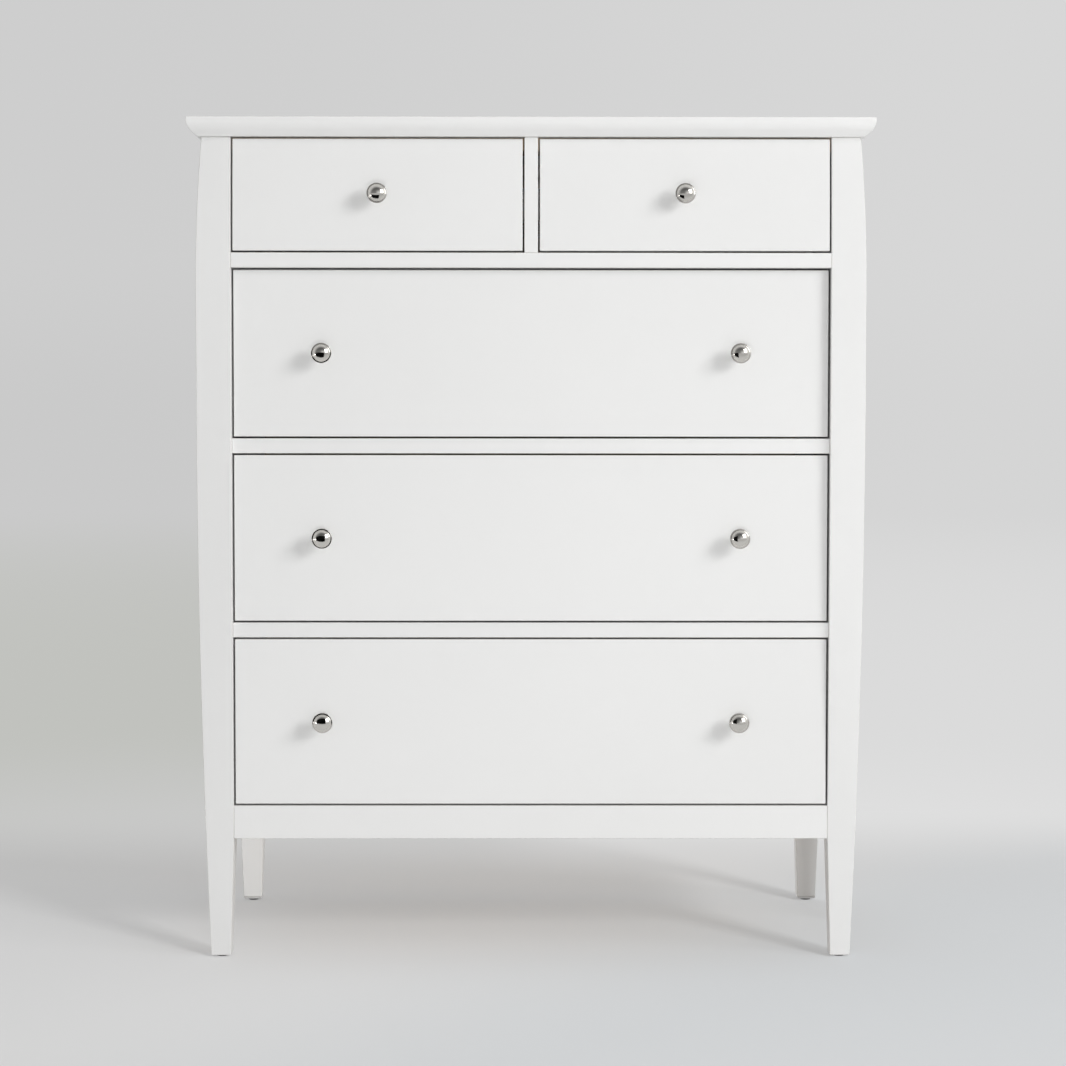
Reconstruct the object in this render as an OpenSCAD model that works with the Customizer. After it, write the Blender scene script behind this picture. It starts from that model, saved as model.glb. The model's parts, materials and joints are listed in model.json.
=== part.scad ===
// Tall chest of drawers: two small drawers over three wide ones, in a case with bowed corner posts.
// The posts swell towards the front and the sides, run down into tapered legs, and stand a little proud
// of the wide drawers. The moulded top overhangs the case at the front and at both sides.
// X runs to the right, Y from the front to the back, Z up. Z = 0 is the floor.

/* [Case] */
// Width over the corner posts where they are widest
case_w = 936; // [700:2:1300]
// Depth from the faces of the wide drawers to the back of the rear posts
case_d = 440; // [425:1:600]
// Height of the opening of the two small top drawers
small_opening_h = 161; // [130:1:260]
// Height of the opening of each wide drawer
wide_opening_h = 238; // [150:1:340]
// Thickness of the side panels
side_panel_t = 16; // [12:1:18]
// Thickness of the tongues on the long edges of the side panels
side_tongue_t = 8; // [4:0.5:9]
// Length of the tongues, and so the depth of the grooves in the posts
side_tongue_l = 8; // [4:1:14]
// Thickness of the back panel
back_panel_t = 5; // [3:0.5:7]
// How far the back panel sits in from the back of the rear posts
back_panel_inset = 3; // [1:0.5:6]
// Width of the rabbets in the rear posts that take the back panel
back_rabbet_w = 10; // [6:1:16]
// Thickness of the bottom panel
bottom_panel_t = 9; // [6:1:12]
// How far the bottom panel reaches into the grooves of the apron and the rear rail
bottom_tongue_l = 6; // [3:1:10]

/* [Top panel] */
// Thickness of the top panel
top_t = 26; // [22:1:45]
// Overhang of the top panel beyond the widest part of the posts, at the front and the sides
top_overhang = 11; // [2:1:40]
// Overhang of the top panel behind the rear posts
top_back_overhang = 6; // [0:1:30]
// Height of the upright band at the upper edge of the moulding
mould_band_h = 4.5; // [1:0.5:8]
// Radius of the round under that band
mould_r = 20; // [8:1:24]
// Slope that the round runs into, from the upright
mould_angle = 45; // [30:5:55]

/* [Posts and legs] */
// Width and depth of a front post where it is widest
post_w = 49; // [40:1:80]
// Depth of a rear post
rear_post_d = 36; // [32:1:60]
// Width and depth of a leg at the floor
foot_w = 28; // [20:1:36]
// How far the posts stand proud of the wide drawers
post_proud = 9; // [2:1:16]
// Height of the underside of the apron above the floor
leg_h = 170; // [80:1:260]
// How far above the underside of the apron the inner sides of the legs start to taper
taper_rise = 10; // [0:1:40]
// Radius of the curve of the posts towards the top
bow_upper_r = 2600; // [2200:50:9000]
// Height at which the upper curve starts
bow_upper_z = 950; // [900:5:1050]
// Radius of the curve of the posts towards the floor
bow_lower_r = 20800; // [17000:100:60000]
// Height at which the lower curve starts
bow_lower_z = 800; // [300:5:900]
// Radius of the corners at the bottom of the feet
foot_corner_r = 4; // [1:0.5:7]

/* [Rails] */
// Height of the rails between the drawers
rail_h = 21; // [16:1:32]
// Depth of the rails, from the faces of the wide drawers
rail_d = 60; // [50:1:110]
// Width of the centre stile between the small drawers, and thickness of the divider behind it
stile_w = 19; // [16:1:30]
// Height of the apron, and of the rear rail level with it
apron_h = 47; // [40:1:90]
// Thickness of the apron and of the rear rail
apron_t = 20; // [18:1:26]
// Length of the tenons that enter the posts
tenon_l = 10; // [6:1:16]
// Thickness of the tenons
tenon_t = 9; // [6:1:11]
// Width of the tenons
tenon_w = 24; // [18:1:26]
// Clearance around tenons and tongues
joint_gap = 0.2; // [0.1:0.05:0.4]
// Thickness of the flat stretchers under the top panel
stretcher_t = 18; // [15:1:20]
// Depth of the flat stretchers
stretcher_d = 60; // [40:1:90]

/* [Drawers] */
// Reveal around each drawer front
reveal = 2.5; // [1.5:0.25:4]
// Thickness of the drawer fronts
front_t = 20; // [18:1:24]
// Thickness of the drawer box sides
box_side_t = 12; // [10:1:16]
// Thickness of the boards across the front and back of a drawer box
box_end_t = 12; // [10:1:16]
// Thickness of the drawer bottoms
box_bottom_t = 6; // [4:1:8]
// Depth of the grooves for the drawer bottoms
box_groove = 6; // [3:0.5:7]
// Height of the drawer bottom above the lower edge of the box
box_bottom_rise = 10; // [6:1:14]
// Space behind the drawer boxes, in front of the rear rail
box_clear_behind = 7; // [3:1:30]
// Space under each drawer box, above the rail
box_clear_below = 14; // [8:1:24]
// Space above each drawer box
box_clear_above = 36; // [30:1:80]

/* [Runners] */
// Length of the telescopic runners
runner_l = 350; // [250:10:350]
// Height of the runners
runner_h = 45; // [40:1:46]
// Thickness of a runner, and so the space beside the drawer box
runner_t = 12.7; // [12.7:0.1:14]
// Thickness of the steel of the runners
runner_steel = 1.2; // [1:0.1:1.4]
// Space between the nested runner members, where the balls run
ball_space = 3; // [2.5:0.1:3.5]
// Running clearance between the webs of the case member and the middle member
runner_web_gap = 1.8; // [1.6:0.1:2]
// How far behind the drawer front the runners start
runner_setback = 4; // [2:1:8]
// Height of the blocks that carry the runners at the sides
cleat_h = 62; // [50:1:80]

/* [Knobs] */
// Diameter of the knobs over the rim
knob_d = 28.5; // [20:0.5:40]
// How far the knobs stand out from the drawer fronts
knob_l = 25; // [20:0.5:34]
// Diameter of the knob's round foot plate
knob_foot_d = 14; // [12:0.5:18]
// Diameter of the knob's neck
knob_neck_d = 10; // [9:0.5:12]
// Thickness of the rim
knob_rim_t = 2; // [1.2:0.1:3]
// Distance between the two knobs of a wide drawer
knob_spread = 585; // [300:5:640]
// Diameter of the bolts that hold the knobs
bolt_d = 4; // [3:0.5:5]

/* [Fasteners and glides] */
// Diameter of the wood screws
screw_d = 3.5; // [3:0.25:4]
// Diameter of the heads of the wood screws
screw_head_d = 7.5; // [6:0.5:8]
// Height of the heads of the wood screws
screw_head_h = 1.4; // [1:0.1:1.5]
// Clearance around the screws and bolts in their holes
hole_gap = 0.1; // [0.05:0.05:0.3]
// Diameter of the glides under the feet
glide_d = 16; // [12:0.5:18]
// Thickness of the glides
glide_h = 2.5; // [1.5:0.5:6]
// Diameter of the pins of the glides
glide_pin_d = 3; // [2:0.5:4]
// Length of the pins of the glides
glide_pin_l = 15; // [8:1:30]

/* [Hidden] */

lacquer = [0.92, 0.92, 0.91];
birch = [0.86, 0.76, 0.6];
board = [0.8, 0.68, 0.5];
zinc = [0.72, 0.73, 0.75];
nickel = [0.78, 0.76, 0.72];
black = [0.06, 0.06, 0.06];
eps = 0.01;
round_fn = 48;

// Heights, from the floor up
apron_z = leg_h;
bottom_open_z = apron_z + apron_h;
lower_rail_z = bottom_open_z + wide_opening_h;
third_open_z = lower_rail_z + rail_h;
middle_rail_z = third_open_z + wide_opening_h;
second_open_z = middle_rail_z + rail_h;
upper_rail_z = second_open_z + wide_opening_h;
small_open_z = upper_rail_z + rail_h;
top_z = small_open_z + small_opening_h;
taper_z = apron_z + taper_rise;
stretcher_z = top_z - stretcher_t;
bottom_panel_z = bottom_open_z - bottom_panel_t - (apron_h - bottom_panel_t) / 4;

// Widths, from the middle out
inner_x = case_w / 2 - post_w;
panel_face_x = case_w / 2 - post_proud;
panel_inner_x = panel_face_x - side_panel_t;
panel_middle_x = panel_face_x - side_panel_t / 2;
small_open_w = inner_x - stile_w / 2;
small_open_x = stile_w / 2 + small_open_w / 2;
foot_x = case_w / 2 - inset(glide_h) - foot_w / 2;

// Depths, from the faces of the wide drawers back
post_back_y = post_w - post_proud;
rear_post_y = case_d - rear_post_d;
back_panel_y = case_d - back_panel_inset - back_panel_t;
rear_rail_y = back_panel_y - apron_t;
box_l = rear_rail_y - box_clear_behind - front_t;
small_back_y = front_t - post_proud;
stretcher_y = small_back_y + 3;
tenon_y = (post_back_y - tenon_w) / 2;
front_foot_y = inset(glide_h) - post_proud + foot_w / 2;
rear_foot_y = case_d - foot_w / 2;
knob_z_small = small_open_z + small_opening_h / 2;
knob_lean = asin(max(0, knob_z_small - bow_upper_z) / bow_upper_r);

// The origin is on the floor under the middle of the whole depth, knobs included
foremost_y = min(-post_proud - top_overhang, -knob_l, face_y(knob_z_small) - knob_l * cos(knob_lean));
middle_y = (foremost_y + case_d + top_back_overhang) / 2;

// Drawers: middle of the opening, its width, its bottom, its height, the Y of the front's back,
// whether the face follows the bow of the posts, and the places of the knobs
top_left = [-small_open_x, small_open_w, small_open_z, small_opening_h, small_back_y, true, [0]];
top_right = [small_open_x, small_open_w, small_open_z, small_opening_h, small_back_y, true, [0]];
wide_knobs = [-knob_spread / 2, knob_spread / 2];
second = [0, 2 * inner_x, second_open_z, wide_opening_h, front_t, false, wide_knobs];
third = [0, 2 * inner_x, third_open_z, wide_opening_h, front_t, false, wide_knobs];
lowest = [0, 2 * inner_x, bottom_open_z, wide_opening_h, front_t, false, wide_knobs];
drawers = [top_left, top_right, second, third, lowest];

// Runner members, measured from the case side towards the drawer
middle_web_x = runner_steel + runner_web_gap;
drawer_web_x = runner_t - runner_steel;
middle_h = runner_h - 2 * (runner_steel + ball_space);
drawer_member_h = middle_h - 2 * (runner_steel + ball_space);
flange_end = runner_t - 2;

// Screws: distance from the ends of a runner and of a stretcher, and how deep they bite
runner_screw_inset = 40;
top_screw_inset = 40;
back_screw_inset = 30;
front_screw_inset = 24;
front_screw_rise = 14;
wood_screw_l = 14;
divider_screw_l = stile_w / 2 - 0.5;
drawer_screw_l = box_side_t - 1;
front_screw_bite = 8;
bolt_bite = 9;
bolt_head_h = 2.5;

// How far the outer faces of the posts draw in at a height
function inset(z) =
    z > bow_upper_z ? bow_upper_r - sqrt(pow(bow_upper_r, 2) - pow(z - bow_upper_z, 2)) :
    z < bow_lower_z ? bow_lower_r - sqrt(pow(bow_lower_r, 2) - pow(bow_lower_z - z, 2)) : 0;

// Front face of the posts, and of what is flush with them
function face_y(z) = inset(z) - post_proud;

// Heights at which the bowed faces are cut, from z0 up to z1
bow_step = 25;
function bow_steps(z0, z1) = concat([z0],
    [for (z = [ceil((z0 + 1) / bow_step) * bow_step:bow_step:z1 - 1]) z], [z1]);

// Points of an arc from angle a0 to a1
function arc(x, y, r, a0, a1, steps = 8) = [for (i = [0:steps])
    [x + r * cos(a0 + (a1 - a0) * i / steps), y + r * sin(a0 + (a1 - a0) * i / steps)]];

// The box of a drawer
function box_w(d) = d[1] - 2 * runner_t;
function box_z(d) = d[2] + box_clear_below;
function box_h(d) = d[3] - box_clear_below - box_clear_above;
function runner_z(d) = box_z(d) + box_h(d) / 2;
function runner_y(d) = d[4] + runner_setback;
function knob_z(d) = d[2] + d[3] / 2;
function knob_y(d) = d[5] ? face_y(knob_z(d)) : 0;

// ---- Helpers ----

// Puts what is built from the drawer faces back into the object's own frame
module placed() {
    translate([0, -middle_y, 0]) children();
}

// A board between two corners
module board(low, high) {
    translate(low) cube(high - low);
}

// An outline in Y and Z, drawn out along X
module along_x(x0, x1) {
    translate([x0, 0, 0]) rotate([90, 0, 90]) linear_extrude(x1 - x0) children();
}

// An outline in X and Z, drawn out along Y
module along_y(y0, y1) {
    translate([0, y1, 0]) rotate([90, 0, 0]) linear_extrude(y1 - y0) children();
}

// A board whose front face follows the bow of the posts
module bowed_board(x0, x1, z0, z1, back_y) {
    steps = bow_steps(z0, z1);
    along_x(x0, x1) polygon(concat([for (z = steps) [face_y(z), z]], [[back_y, z1], [back_y, z0]]));
}

// The part and its mirror image on the other side
module both_sides() {
    children();
    mirror([1, 0, 0]) children();
}

// A screw along +Z with the underside of its head at the origin
module wood_screw(l) {
    translate([0, 0, -screw_head_h]) cylinder(d = screw_head_d, h = screw_head_h, $fn = round_fn);
    cylinder(d = screw_d, h = l, $fn = round_fn);
}

// The hole for that screw
module screw_hole(l) {
    translate([0, 0, -eps]) cylinder(d = screw_d + 2 * hole_gap, h = l + 1 + eps, $fn = round_fn);
}

// ---- Places of the fasteners ----

// Screws of the case members of one drawer's runners: into the blocks at the sides, or into the divider
module at_case_runner_screws(d) {
    for (side = [-1, 1])
        for (y = [runner_screw_inset, runner_l - runner_screw_inset])
            translate([d[0] + side * (d[1] / 2 - runner_steel), runner_y(d) + y, runner_z(d)])
                rotate([0, side * 90, 0]) children();
}

// Screws of the drawer members, into the sides of the box
module at_drawer_runner_screws(d) {
    for (side = [-1, 1])
        for (y = [runner_screw_inset, runner_l - runner_screw_inset])
            translate([d[0] + side * (box_w(d) / 2 + runner_steel), runner_y(d) + y, runner_z(d)])
                rotate([0, -side * 90, 0]) children();
}

// Screws from the box into the drawer front
module at_front_screws(d) {
    for (side = [-1, 1])
        for (z = [box_bottom_rise + box_bottom_t + front_screw_rise, box_h(d) - front_screw_rise])
            translate([d[0] + side * (box_w(d) / 2 - box_side_t - front_screw_inset),
                    d[4] + box_end_t, box_z(d) + z])
                rotate([90, 0, 0]) children();
}

// The knobs of a drawer, with +Z along the knob's own axis, out of the front
module at_knobs(d) {
    for (x = d[6])
        translate([d[0] + x, knob_y(d), knob_z(d)]) rotate([d[5] ? 90 - knob_lean : 90, 0, 0]) children();
}

// Screws up through the stretchers into the top panel
module at_top_screws() {
    for (y = [stretcher_y, back_panel_y - stretcher_d])
        for (x = [-1, -1 / 3, 1 / 3, 1])
            translate([x * (inner_x - top_screw_inset), y + stretcher_d / 2, stretcher_z]) children();
}

// Screws through the back panel into the rear posts, the rear stretcher and the rear rail
module at_back_screws() {
    for (side = [-1, 1])
        for (i = [0:4])
            translate([side * (inner_x + back_rabbet_w / 2), case_d - back_panel_inset,
                    apron_z + back_screw_inset + i * (top_z - apron_z - 2 * back_screw_inset) / 4])
                rotate([90, 0, 0]) children();
    for (x = [-1, 0, 1])
        for (z = [top_z - stretcher_t / 2, apron_z + apron_h / 2])
            translate([x * inner_x / 2, case_d - back_panel_inset, z]) rotate([90, 0, 0]) children();
}

module at_feet() {
    for (side = [-1, 1])
        for (y = [front_foot_y, rear_foot_y])
            translate([side * foot_x, y, 0]) children();
}

// ---- Top ----

// Half of the moulded outline on the right: the upright band, the round and the slope under it
function mould_side(x) = let (
        round_z = top_z + top_t - mould_band_h,
        centre_x = x - mould_r,
        slope_top = round_z - mould_r * sin(mould_angle),
        slope_x = centre_x + mould_r * cos(mould_angle))
    concat([[x, top_z + top_t]], arc(centre_x, round_z, mould_r, 0, -mould_angle),
        [[slope_x - (slope_top - top_z) * tan(mould_angle), top_z]]);

module top_panel() {
    right = mould_side(case_w / 2 + top_overhang);
    front = mould_side(post_proud + top_overhang);
    back_y = case_d + top_back_overhang;
    color(lacquer) placed() difference() {
        intersection() {
            along_y(-post_proud - top_overhang - 1, back_y)
                polygon(concat(right, [for (i = [len(right) - 1:-1:0]) [-right[i][0], right[i][1]]]));
            along_x(-case_w / 2 - top_overhang - 1, case_w / 2 + top_overhang + 1)
                polygon(concat([for (p = front) [-p[0], p[1]]], [[back_y, top_z], [back_y, top_z + top_t]]));
        }
        at_top_screws() screw_hole(stretcher_t + wood_screw_l);
    }
}

// ---- Posts ----

// Outline of a post seen from the front: bowed outside, straight inside, tapered below
module post_outline(outer, inner) {
    foot_outer = outer - inset(glide_h);
    difference() {
        polygon(concat([for (z = bow_steps(glide_h, top_z)) [outer - inset(z), z]],
            [[inner, top_z], [inner, taper_z], [foot_outer - foot_w, glide_h]]));
        foot_corner(foot_outer, -1);
        foot_corner(foot_outer - foot_w, 1);
    }
}

// What rounds off a lower corner of a foot whose wood lies on the given side of x
module foot_corner(x, side) {
    translate([x, glide_h]) mirror([side < 0 ? 1 : 0, 0]) difference() {
        translate([-1, -1]) square(foot_corner_r + 1);
        translate([foot_corner_r, foot_corner_r]) circle(r = foot_corner_r, $fn = round_fn);
    }
}

module front_post() {
    difference() {
        intersection() {
            along_y(-post_proud - 1, post_back_y + 1) post_outline(case_w / 2, inner_x);
            along_x(inner_x - 1, case_w / 2 + 1) mirror([1, 0]) post_outline(post_proud, -post_back_y);
        }
        side_groove(post_back_y - side_tongue_l - joint_gap, post_back_y + 1);
        for (z = [lower_rail_z, middle_rail_z, upper_rail_z])
            rail_tenon(z, joint_gap);
        apron_tenon(joint_gap);
        at_feet() glide_hole();
    }
}

module rear_post() {
    difference() {
        intersection() {
            along_y(rear_post_y - 1, case_d + 1) post_outline(case_w / 2, inner_x);
            along_x(inner_x - 1, case_w / 2 + 1) difference() {
                polygon([[case_d, glide_h], [case_d, top_z], [rear_post_y, top_z],
                    [rear_post_y, taper_z], [case_d - foot_w, glide_h]]);
                foot_corner(case_d, -1);
                foot_corner(case_d - foot_w, 1);
            }
        }
        side_groove(rear_post_y - 1, rear_post_y + side_tongue_l + joint_gap);
        board([inner_x - 1, back_panel_y, apron_z - joint_gap],
            [inner_x + back_rabbet_w + joint_gap, case_d + 1, top_z + 1]);
        at_feet() glide_hole();
        at_back_screws() translate([0, 0, back_panel_t]) screw_hole(wood_screw_l);
    }
}

// Groove for a tongue of the right side panel
module side_groove(y0, y1) {
    half = side_tongue_t / 2 + joint_gap;
    board([panel_middle_x - half, y0, apron_z - joint_gap], [panel_middle_x + half, y1, top_z + 1]);
}

module glide_hole() {
    cylinder(d = glide_pin_d + 2 * hole_gap, h = glide_pin_l + 1, $fn = round_fn);
}

module front_right_post() { color(lacquer) placed() front_post(); }
module front_left_post() { color(lacquer) placed() mirror([1, 0, 0]) front_post(); }
module rear_right_post() { color(lacquer) placed() rear_post(); }
module rear_left_post() { color(lacquer) placed() mirror([1, 0, 0]) rear_post(); }

// ---- Panels ----

module side_panel() {
    board([panel_inner_x, post_back_y, apron_z], [panel_face_x, rear_post_y, top_z]);
    board([panel_middle_x - side_tongue_t / 2, post_back_y - side_tongue_l, apron_z],
        [panel_middle_x + side_tongue_t / 2, rear_post_y + side_tongue_l, top_z]);
}

module right_side_panel() { color(lacquer) placed() side_panel(); }
module left_side_panel() { color(lacquer) placed() mirror([1, 0, 0]) side_panel(); }

module back_panel() {
    half = inner_x + back_rabbet_w;
    color(board) placed() difference() {
        board([-half, back_panel_y, apron_z], [half, back_panel_y + back_panel_t, top_z]);
        at_back_screws() screw_hole(wood_screw_l);
    }
}

module bottom_panel_shape(gap) {
    board([-inner_x - gap, apron_t - bottom_tongue_l - gap, bottom_panel_z - gap],
        [inner_x + gap, rear_rail_y + bottom_tongue_l + gap, bottom_panel_z + bottom_panel_t + gap]);
}

module bottom_panel() {
    color(board) placed() {
        bottom_panel_shape(0);
        board([-panel_inner_x, post_back_y, bottom_panel_z],
            [panel_inner_x, rear_post_y, bottom_panel_z + bottom_panel_t]);
    }
}

// ---- Rails and stile ----

module rail_tenon(z, gap) {
    board([inner_x - gap, tenon_y - gap, z + (rail_h - tenon_t) / 2 - gap],
        [inner_x + tenon_l + gap, tenon_y + tenon_w + gap, z + (rail_h + tenon_t) / 2 + gap]);
}

module apron_tenon(gap) {
    board([inner_x - gap, (apron_t - tenon_t) / 2 - gap, apron_z + (apron_h - tenon_w) / 2 - gap],
        [inner_x + tenon_l + gap, (apron_t + tenon_t) / 2 + gap, apron_z + (apron_h + tenon_w) / 2 + gap]);
}

module upper_rail() {
    color(lacquer) placed() {
        bowed_board(-inner_x, inner_x, upper_rail_z, small_open_z, rail_d);
        both_sides() rail_tenon(upper_rail_z, 0);
    }
}

module flush_rail(z) {
    board([-inner_x, 0, z], [inner_x, rail_d, z + rail_h]);
    both_sides() rail_tenon(z, 0);
}

module middle_rail() { color(lacquer) placed() flush_rail(middle_rail_z); }
module lower_rail() { color(lacquer) placed() flush_rail(lower_rail_z); }

module apron() {
    color(lacquer) placed() {
        difference() {
            board([-inner_x, 0, apron_z], [inner_x, apron_t, bottom_open_z]);
            bottom_panel_shape(joint_gap);
        }
        both_sides() apron_tenon(0);
    }
}

module centre_stile() {
    color(lacquer) placed() bowed_board(-stile_w / 2, stile_w / 2, small_open_z, top_z, stretcher_y);
}

module centre_divider() {
    color(birch) placed() difference() {
        board([-stile_w / 2, stretcher_y, small_open_z], [stile_w / 2, back_panel_y, stretcher_z]);
        for (d = [top_left, top_right])
            at_case_runner_screws(d) screw_hole(divider_screw_l);
    }
}
module stretchers() {
    color(birch) placed() difference() {
        for (y = [stretcher_y, back_panel_y - stretcher_d])
            board([-inner_x, y, stretcher_z], [inner_x, y + stretcher_d, top_z]);
        at_top_screws() screw_hole(stretcher_t);
        at_back_screws() translate([0, 0, back_panel_t]) screw_hole(wood_screw_l);
    }
    color(birch) placed() difference() {
        board([-inner_x, rear_rail_y, apron_z], [inner_x, back_panel_y, bottom_open_z]);
        bottom_panel_shape(joint_gap);
        at_back_screws() translate([0, 0, back_panel_t]) screw_hole(wood_screw_l);
    }
}

// Blocks between the posts that bring the runners out to the line of the openings
module runner_blocks() {
    color(birch) placed() difference() {
        both_sides() for (d = [top_right, second, third, lowest])
            board([inner_x, post_back_y, runner_z(d) - cleat_h / 2],
                [panel_inner_x, rear_post_y, runner_z(d) + cleat_h / 2]);
        for (d = drawers)
            at_case_runner_screws(d) screw_hole(wood_screw_l);
    }
}

// ---- Runners ----

// A folded steel channel: web at x0, flanges reaching to x1, height h
module channel(x0, x1, h) {
    web = x1 > x0 ? [x0, x0 + runner_steel] : [x0 - runner_steel, x0];
    arms = [min(x0, x1), max(x0, x1)];
    translate([web[0], 0, -h / 2]) cube([runner_steel, runner_l, h]);
    for (z = [-h / 2, h / 2 - runner_steel])
        translate([arms[0], 0, z]) cube([arms[1] - arms[0], runner_l, runner_steel]);
}

// Puts a runner member on both sides of a drawer, X pointing from the case to the box
module both_runners(d) {
    translate([d[0] - d[1] / 2, runner_y(d), runner_z(d)]) children();
    translate([d[0] + d[1] / 2, runner_y(d), runner_z(d)]) mirror([1, 0, 0]) children();
}

module case_runners() {
    color(zinc) placed() for (d = drawers) difference() {
        both_runners(d) channel(0, flange_end, runner_h);
        at_case_runner_screws(d) translate([0, 0, -1]) screw_hole(runner_steel + 1);
    }
}

module middle_runners(d) {
    color(zinc) placed() both_runners(d) channel(middle_web_x, flange_end, middle_h);
}

module drawer_runners(d) {
    color(zinc) placed() difference() {
        both_runners(d) channel(runner_t, middle_web_x + runner_steel + 1, drawer_member_h);
        at_drawer_runner_screws(d) translate([0, 0, -1]) screw_hole(runner_steel + 1);
    }
}

// ---- Fasteners and feet ----

module case_screws() {
    color(zinc) placed() {
        for (d = [second, third, lowest])
            at_case_runner_screws(d) wood_screw(wood_screw_l);
        for (d = [top_left, top_right])
            at_case_runner_screws(d) wood_screw(divider_screw_l);
        at_top_screws() wood_screw(stretcher_t + wood_screw_l);
        at_back_screws() wood_screw(wood_screw_l);
    }
}

module foot_glides() {
    color(black) placed() at_feet() {
        cylinder(d = glide_d, h = glide_h, $fn = round_fn);
        cylinder(d = glide_pin_d, h = glide_pin_l, $fn = round_fn);
    }
}

// ---- Drawers ----

module drawer_front(d) {
    x0 = d[0] - d[1] / 2 + reveal;
    x1 = d[0] + d[1] / 2 - reveal;
    z0 = d[2] + reveal;
    z1 = d[2] + d[3] - reveal;
    color(lacquer) placed() difference() {
        if (d[5])
            bowed_board(x0, x1, z0, z1, d[4]);
        else
            board([x0, 0, z0], [x1, d[4], z1]);
        at_front_screws(d) screw_hole(box_end_t + front_screw_bite);
        at_knobs(d) bolt_hole();
    }
}

module box_bottom_shape(d, gap) {
    half = box_w(d) / 2 - box_side_t + box_groove;
    board([d[0] - half - gap, d[4] + box_end_t - box_groove - gap, box_z(d) + box_bottom_rise - gap],
        [d[0] + half + gap, d[4] + box_l - box_end_t + box_groove + gap,
            box_z(d) + box_bottom_rise + box_bottom_t + gap]);
}

module drawer_sides(d) {
    color(birch) placed() difference() {
        for (side = [-1, 1])
            board([d[0] + side * (box_w(d) / 2 - box_side_t / 2) - box_side_t / 2, d[4], box_z(d)],
                [d[0] + side * (box_w(d) / 2 - box_side_t / 2) + box_side_t / 2, d[4] + box_l,
                    box_z(d) + box_h(d)]);
        box_bottom_shape(d, joint_gap);
        at_drawer_runner_screws(d) screw_hole(drawer_screw_l);
    }
}
module drawer_ends(d) {
    half = box_w(d) / 2 - box_side_t;
    color(birch) placed() difference() {
        for (y = [d[4], d[4] + box_l - box_end_t])
            board([d[0] - half, y, box_z(d)], [d[0] + half, y + box_end_t, box_z(d) + box_h(d)]);
        box_bottom_shape(d, joint_gap);
        at_front_screws(d) screw_hole(box_end_t + 1);
        at_knobs(d) bolt_hole();
    }
}

module drawer_bottom(d) {
    color(board) placed() box_bottom_shape(d, 0);
}

// Distance along a knob's axis from the drawer's face to the inside of the box
function bolt_reach(d) = (d[4] + box_end_t - knob_y(d)) / (d[5] ? cos(knob_lean) : 1);

module bolt_hole() {
    translate([0, 0, -front_t - box_end_t - 20])
        cylinder(d = bolt_d + 2 * hole_gap, h = front_t + box_end_t + 40, $fn = round_fn);
}

module drawer_screws(d) {
    color(zinc) placed() {
        at_front_screws(d) wood_screw(box_end_t + front_screw_bite);
        at_drawer_runner_screws(d) wood_screw(drawer_screw_l);
        at_knobs(d) translate([0, 0, -bolt_reach(d) - bolt_seat(d)]) {
            cylinder(d = bolt_d, h = bolt_reach(d) + bolt_seat(d) + bolt_bite, $fn = round_fn);
            translate([0, 0, -bolt_head_h]) cylinder(d = 2 * bolt_d, h = bolt_head_h, $fn = round_fn);
        }
    }
}

// A leaning bolt's head stands off the box so that its lower edge clears the wood
function bolt_seat(d) = d[5] ? bolt_d * tan(knob_lean) : 0;

// ---- Knobs ----

module knob() {
    rim_z = knob_l * 0.62;
    dome_h = knob_l - rim_z - knob_rim_t;
    rim_r = knob_d / 2;
    dome_r = rim_r - 1.2;
    sphere_r = (pow(dome_r, 2) + pow(dome_h, 2)) / (2 * dome_h);
    dome_a = asin(dome_r / sphere_r);
    difference() {
        rotate_extrude($fn = 96) polygon(concat(
            [[0, 0], [knob_foot_d / 2, 0], [knob_foot_d / 2, 1.5], [knob_neck_d / 2 + 1, 3]],
            [[knob_neck_d / 2, 5], [knob_neck_d / 2, rim_z - 6], [knob_neck_d / 2 + 1.5, rim_z - 3]],
            [[rim_r - 2.5, rim_z - 0.6], [rim_r, rim_z], [rim_r, rim_z + knob_rim_t - 0.4]],
            [[rim_r - 0.4, rim_z + knob_rim_t]],
            arc(0, knob_l - sphere_r, sphere_r, 90 - dome_a, 90, 10)));
        translate([0, 0, -eps]) cylinder(d = bolt_d + 2 * hole_gap, h = bolt_bite + 1, $fn = round_fn);
    }
}

module knobs(d) {
    color(nickel) placed() at_knobs(d) knob();
}

// ---- Named nodes of the drawers ----

module top_left_drawer_front() { drawer_front(top_left); }
module top_left_drawer_sides() { drawer_sides(top_left); }
module top_left_drawer_ends() { drawer_ends(top_left); }
module top_left_drawer_bottom() { drawer_bottom(top_left); }
module top_left_knob() { knobs(top_left); }
module top_left_drawer_screws() { drawer_screws(top_left); }
module top_left_drawer_runners() { drawer_runners(top_left); }
module top_left_middle_runners() { middle_runners(top_left); }

module top_right_drawer_front() { drawer_front(top_right); }
module top_right_drawer_sides() { drawer_sides(top_right); }
module top_right_drawer_ends() { drawer_ends(top_right); }
module top_right_drawer_bottom() { drawer_bottom(top_right); }
module top_right_knob() { knobs(top_right); }
module top_right_drawer_screws() { drawer_screws(top_right); }
module top_right_drawer_runners() { drawer_runners(top_right); }
module top_right_middle_runners() { middle_runners(top_right); }

module second_drawer_front() { drawer_front(second); }
module second_drawer_sides() { drawer_sides(second); }
module second_drawer_ends() { drawer_ends(second); }
module second_drawer_bottom() { drawer_bottom(second); }
module second_knobs() { knobs(second); }
module second_drawer_screws() { drawer_screws(second); }
module second_drawer_runners() { drawer_runners(second); }
module second_middle_runners() { middle_runners(second); }

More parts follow.
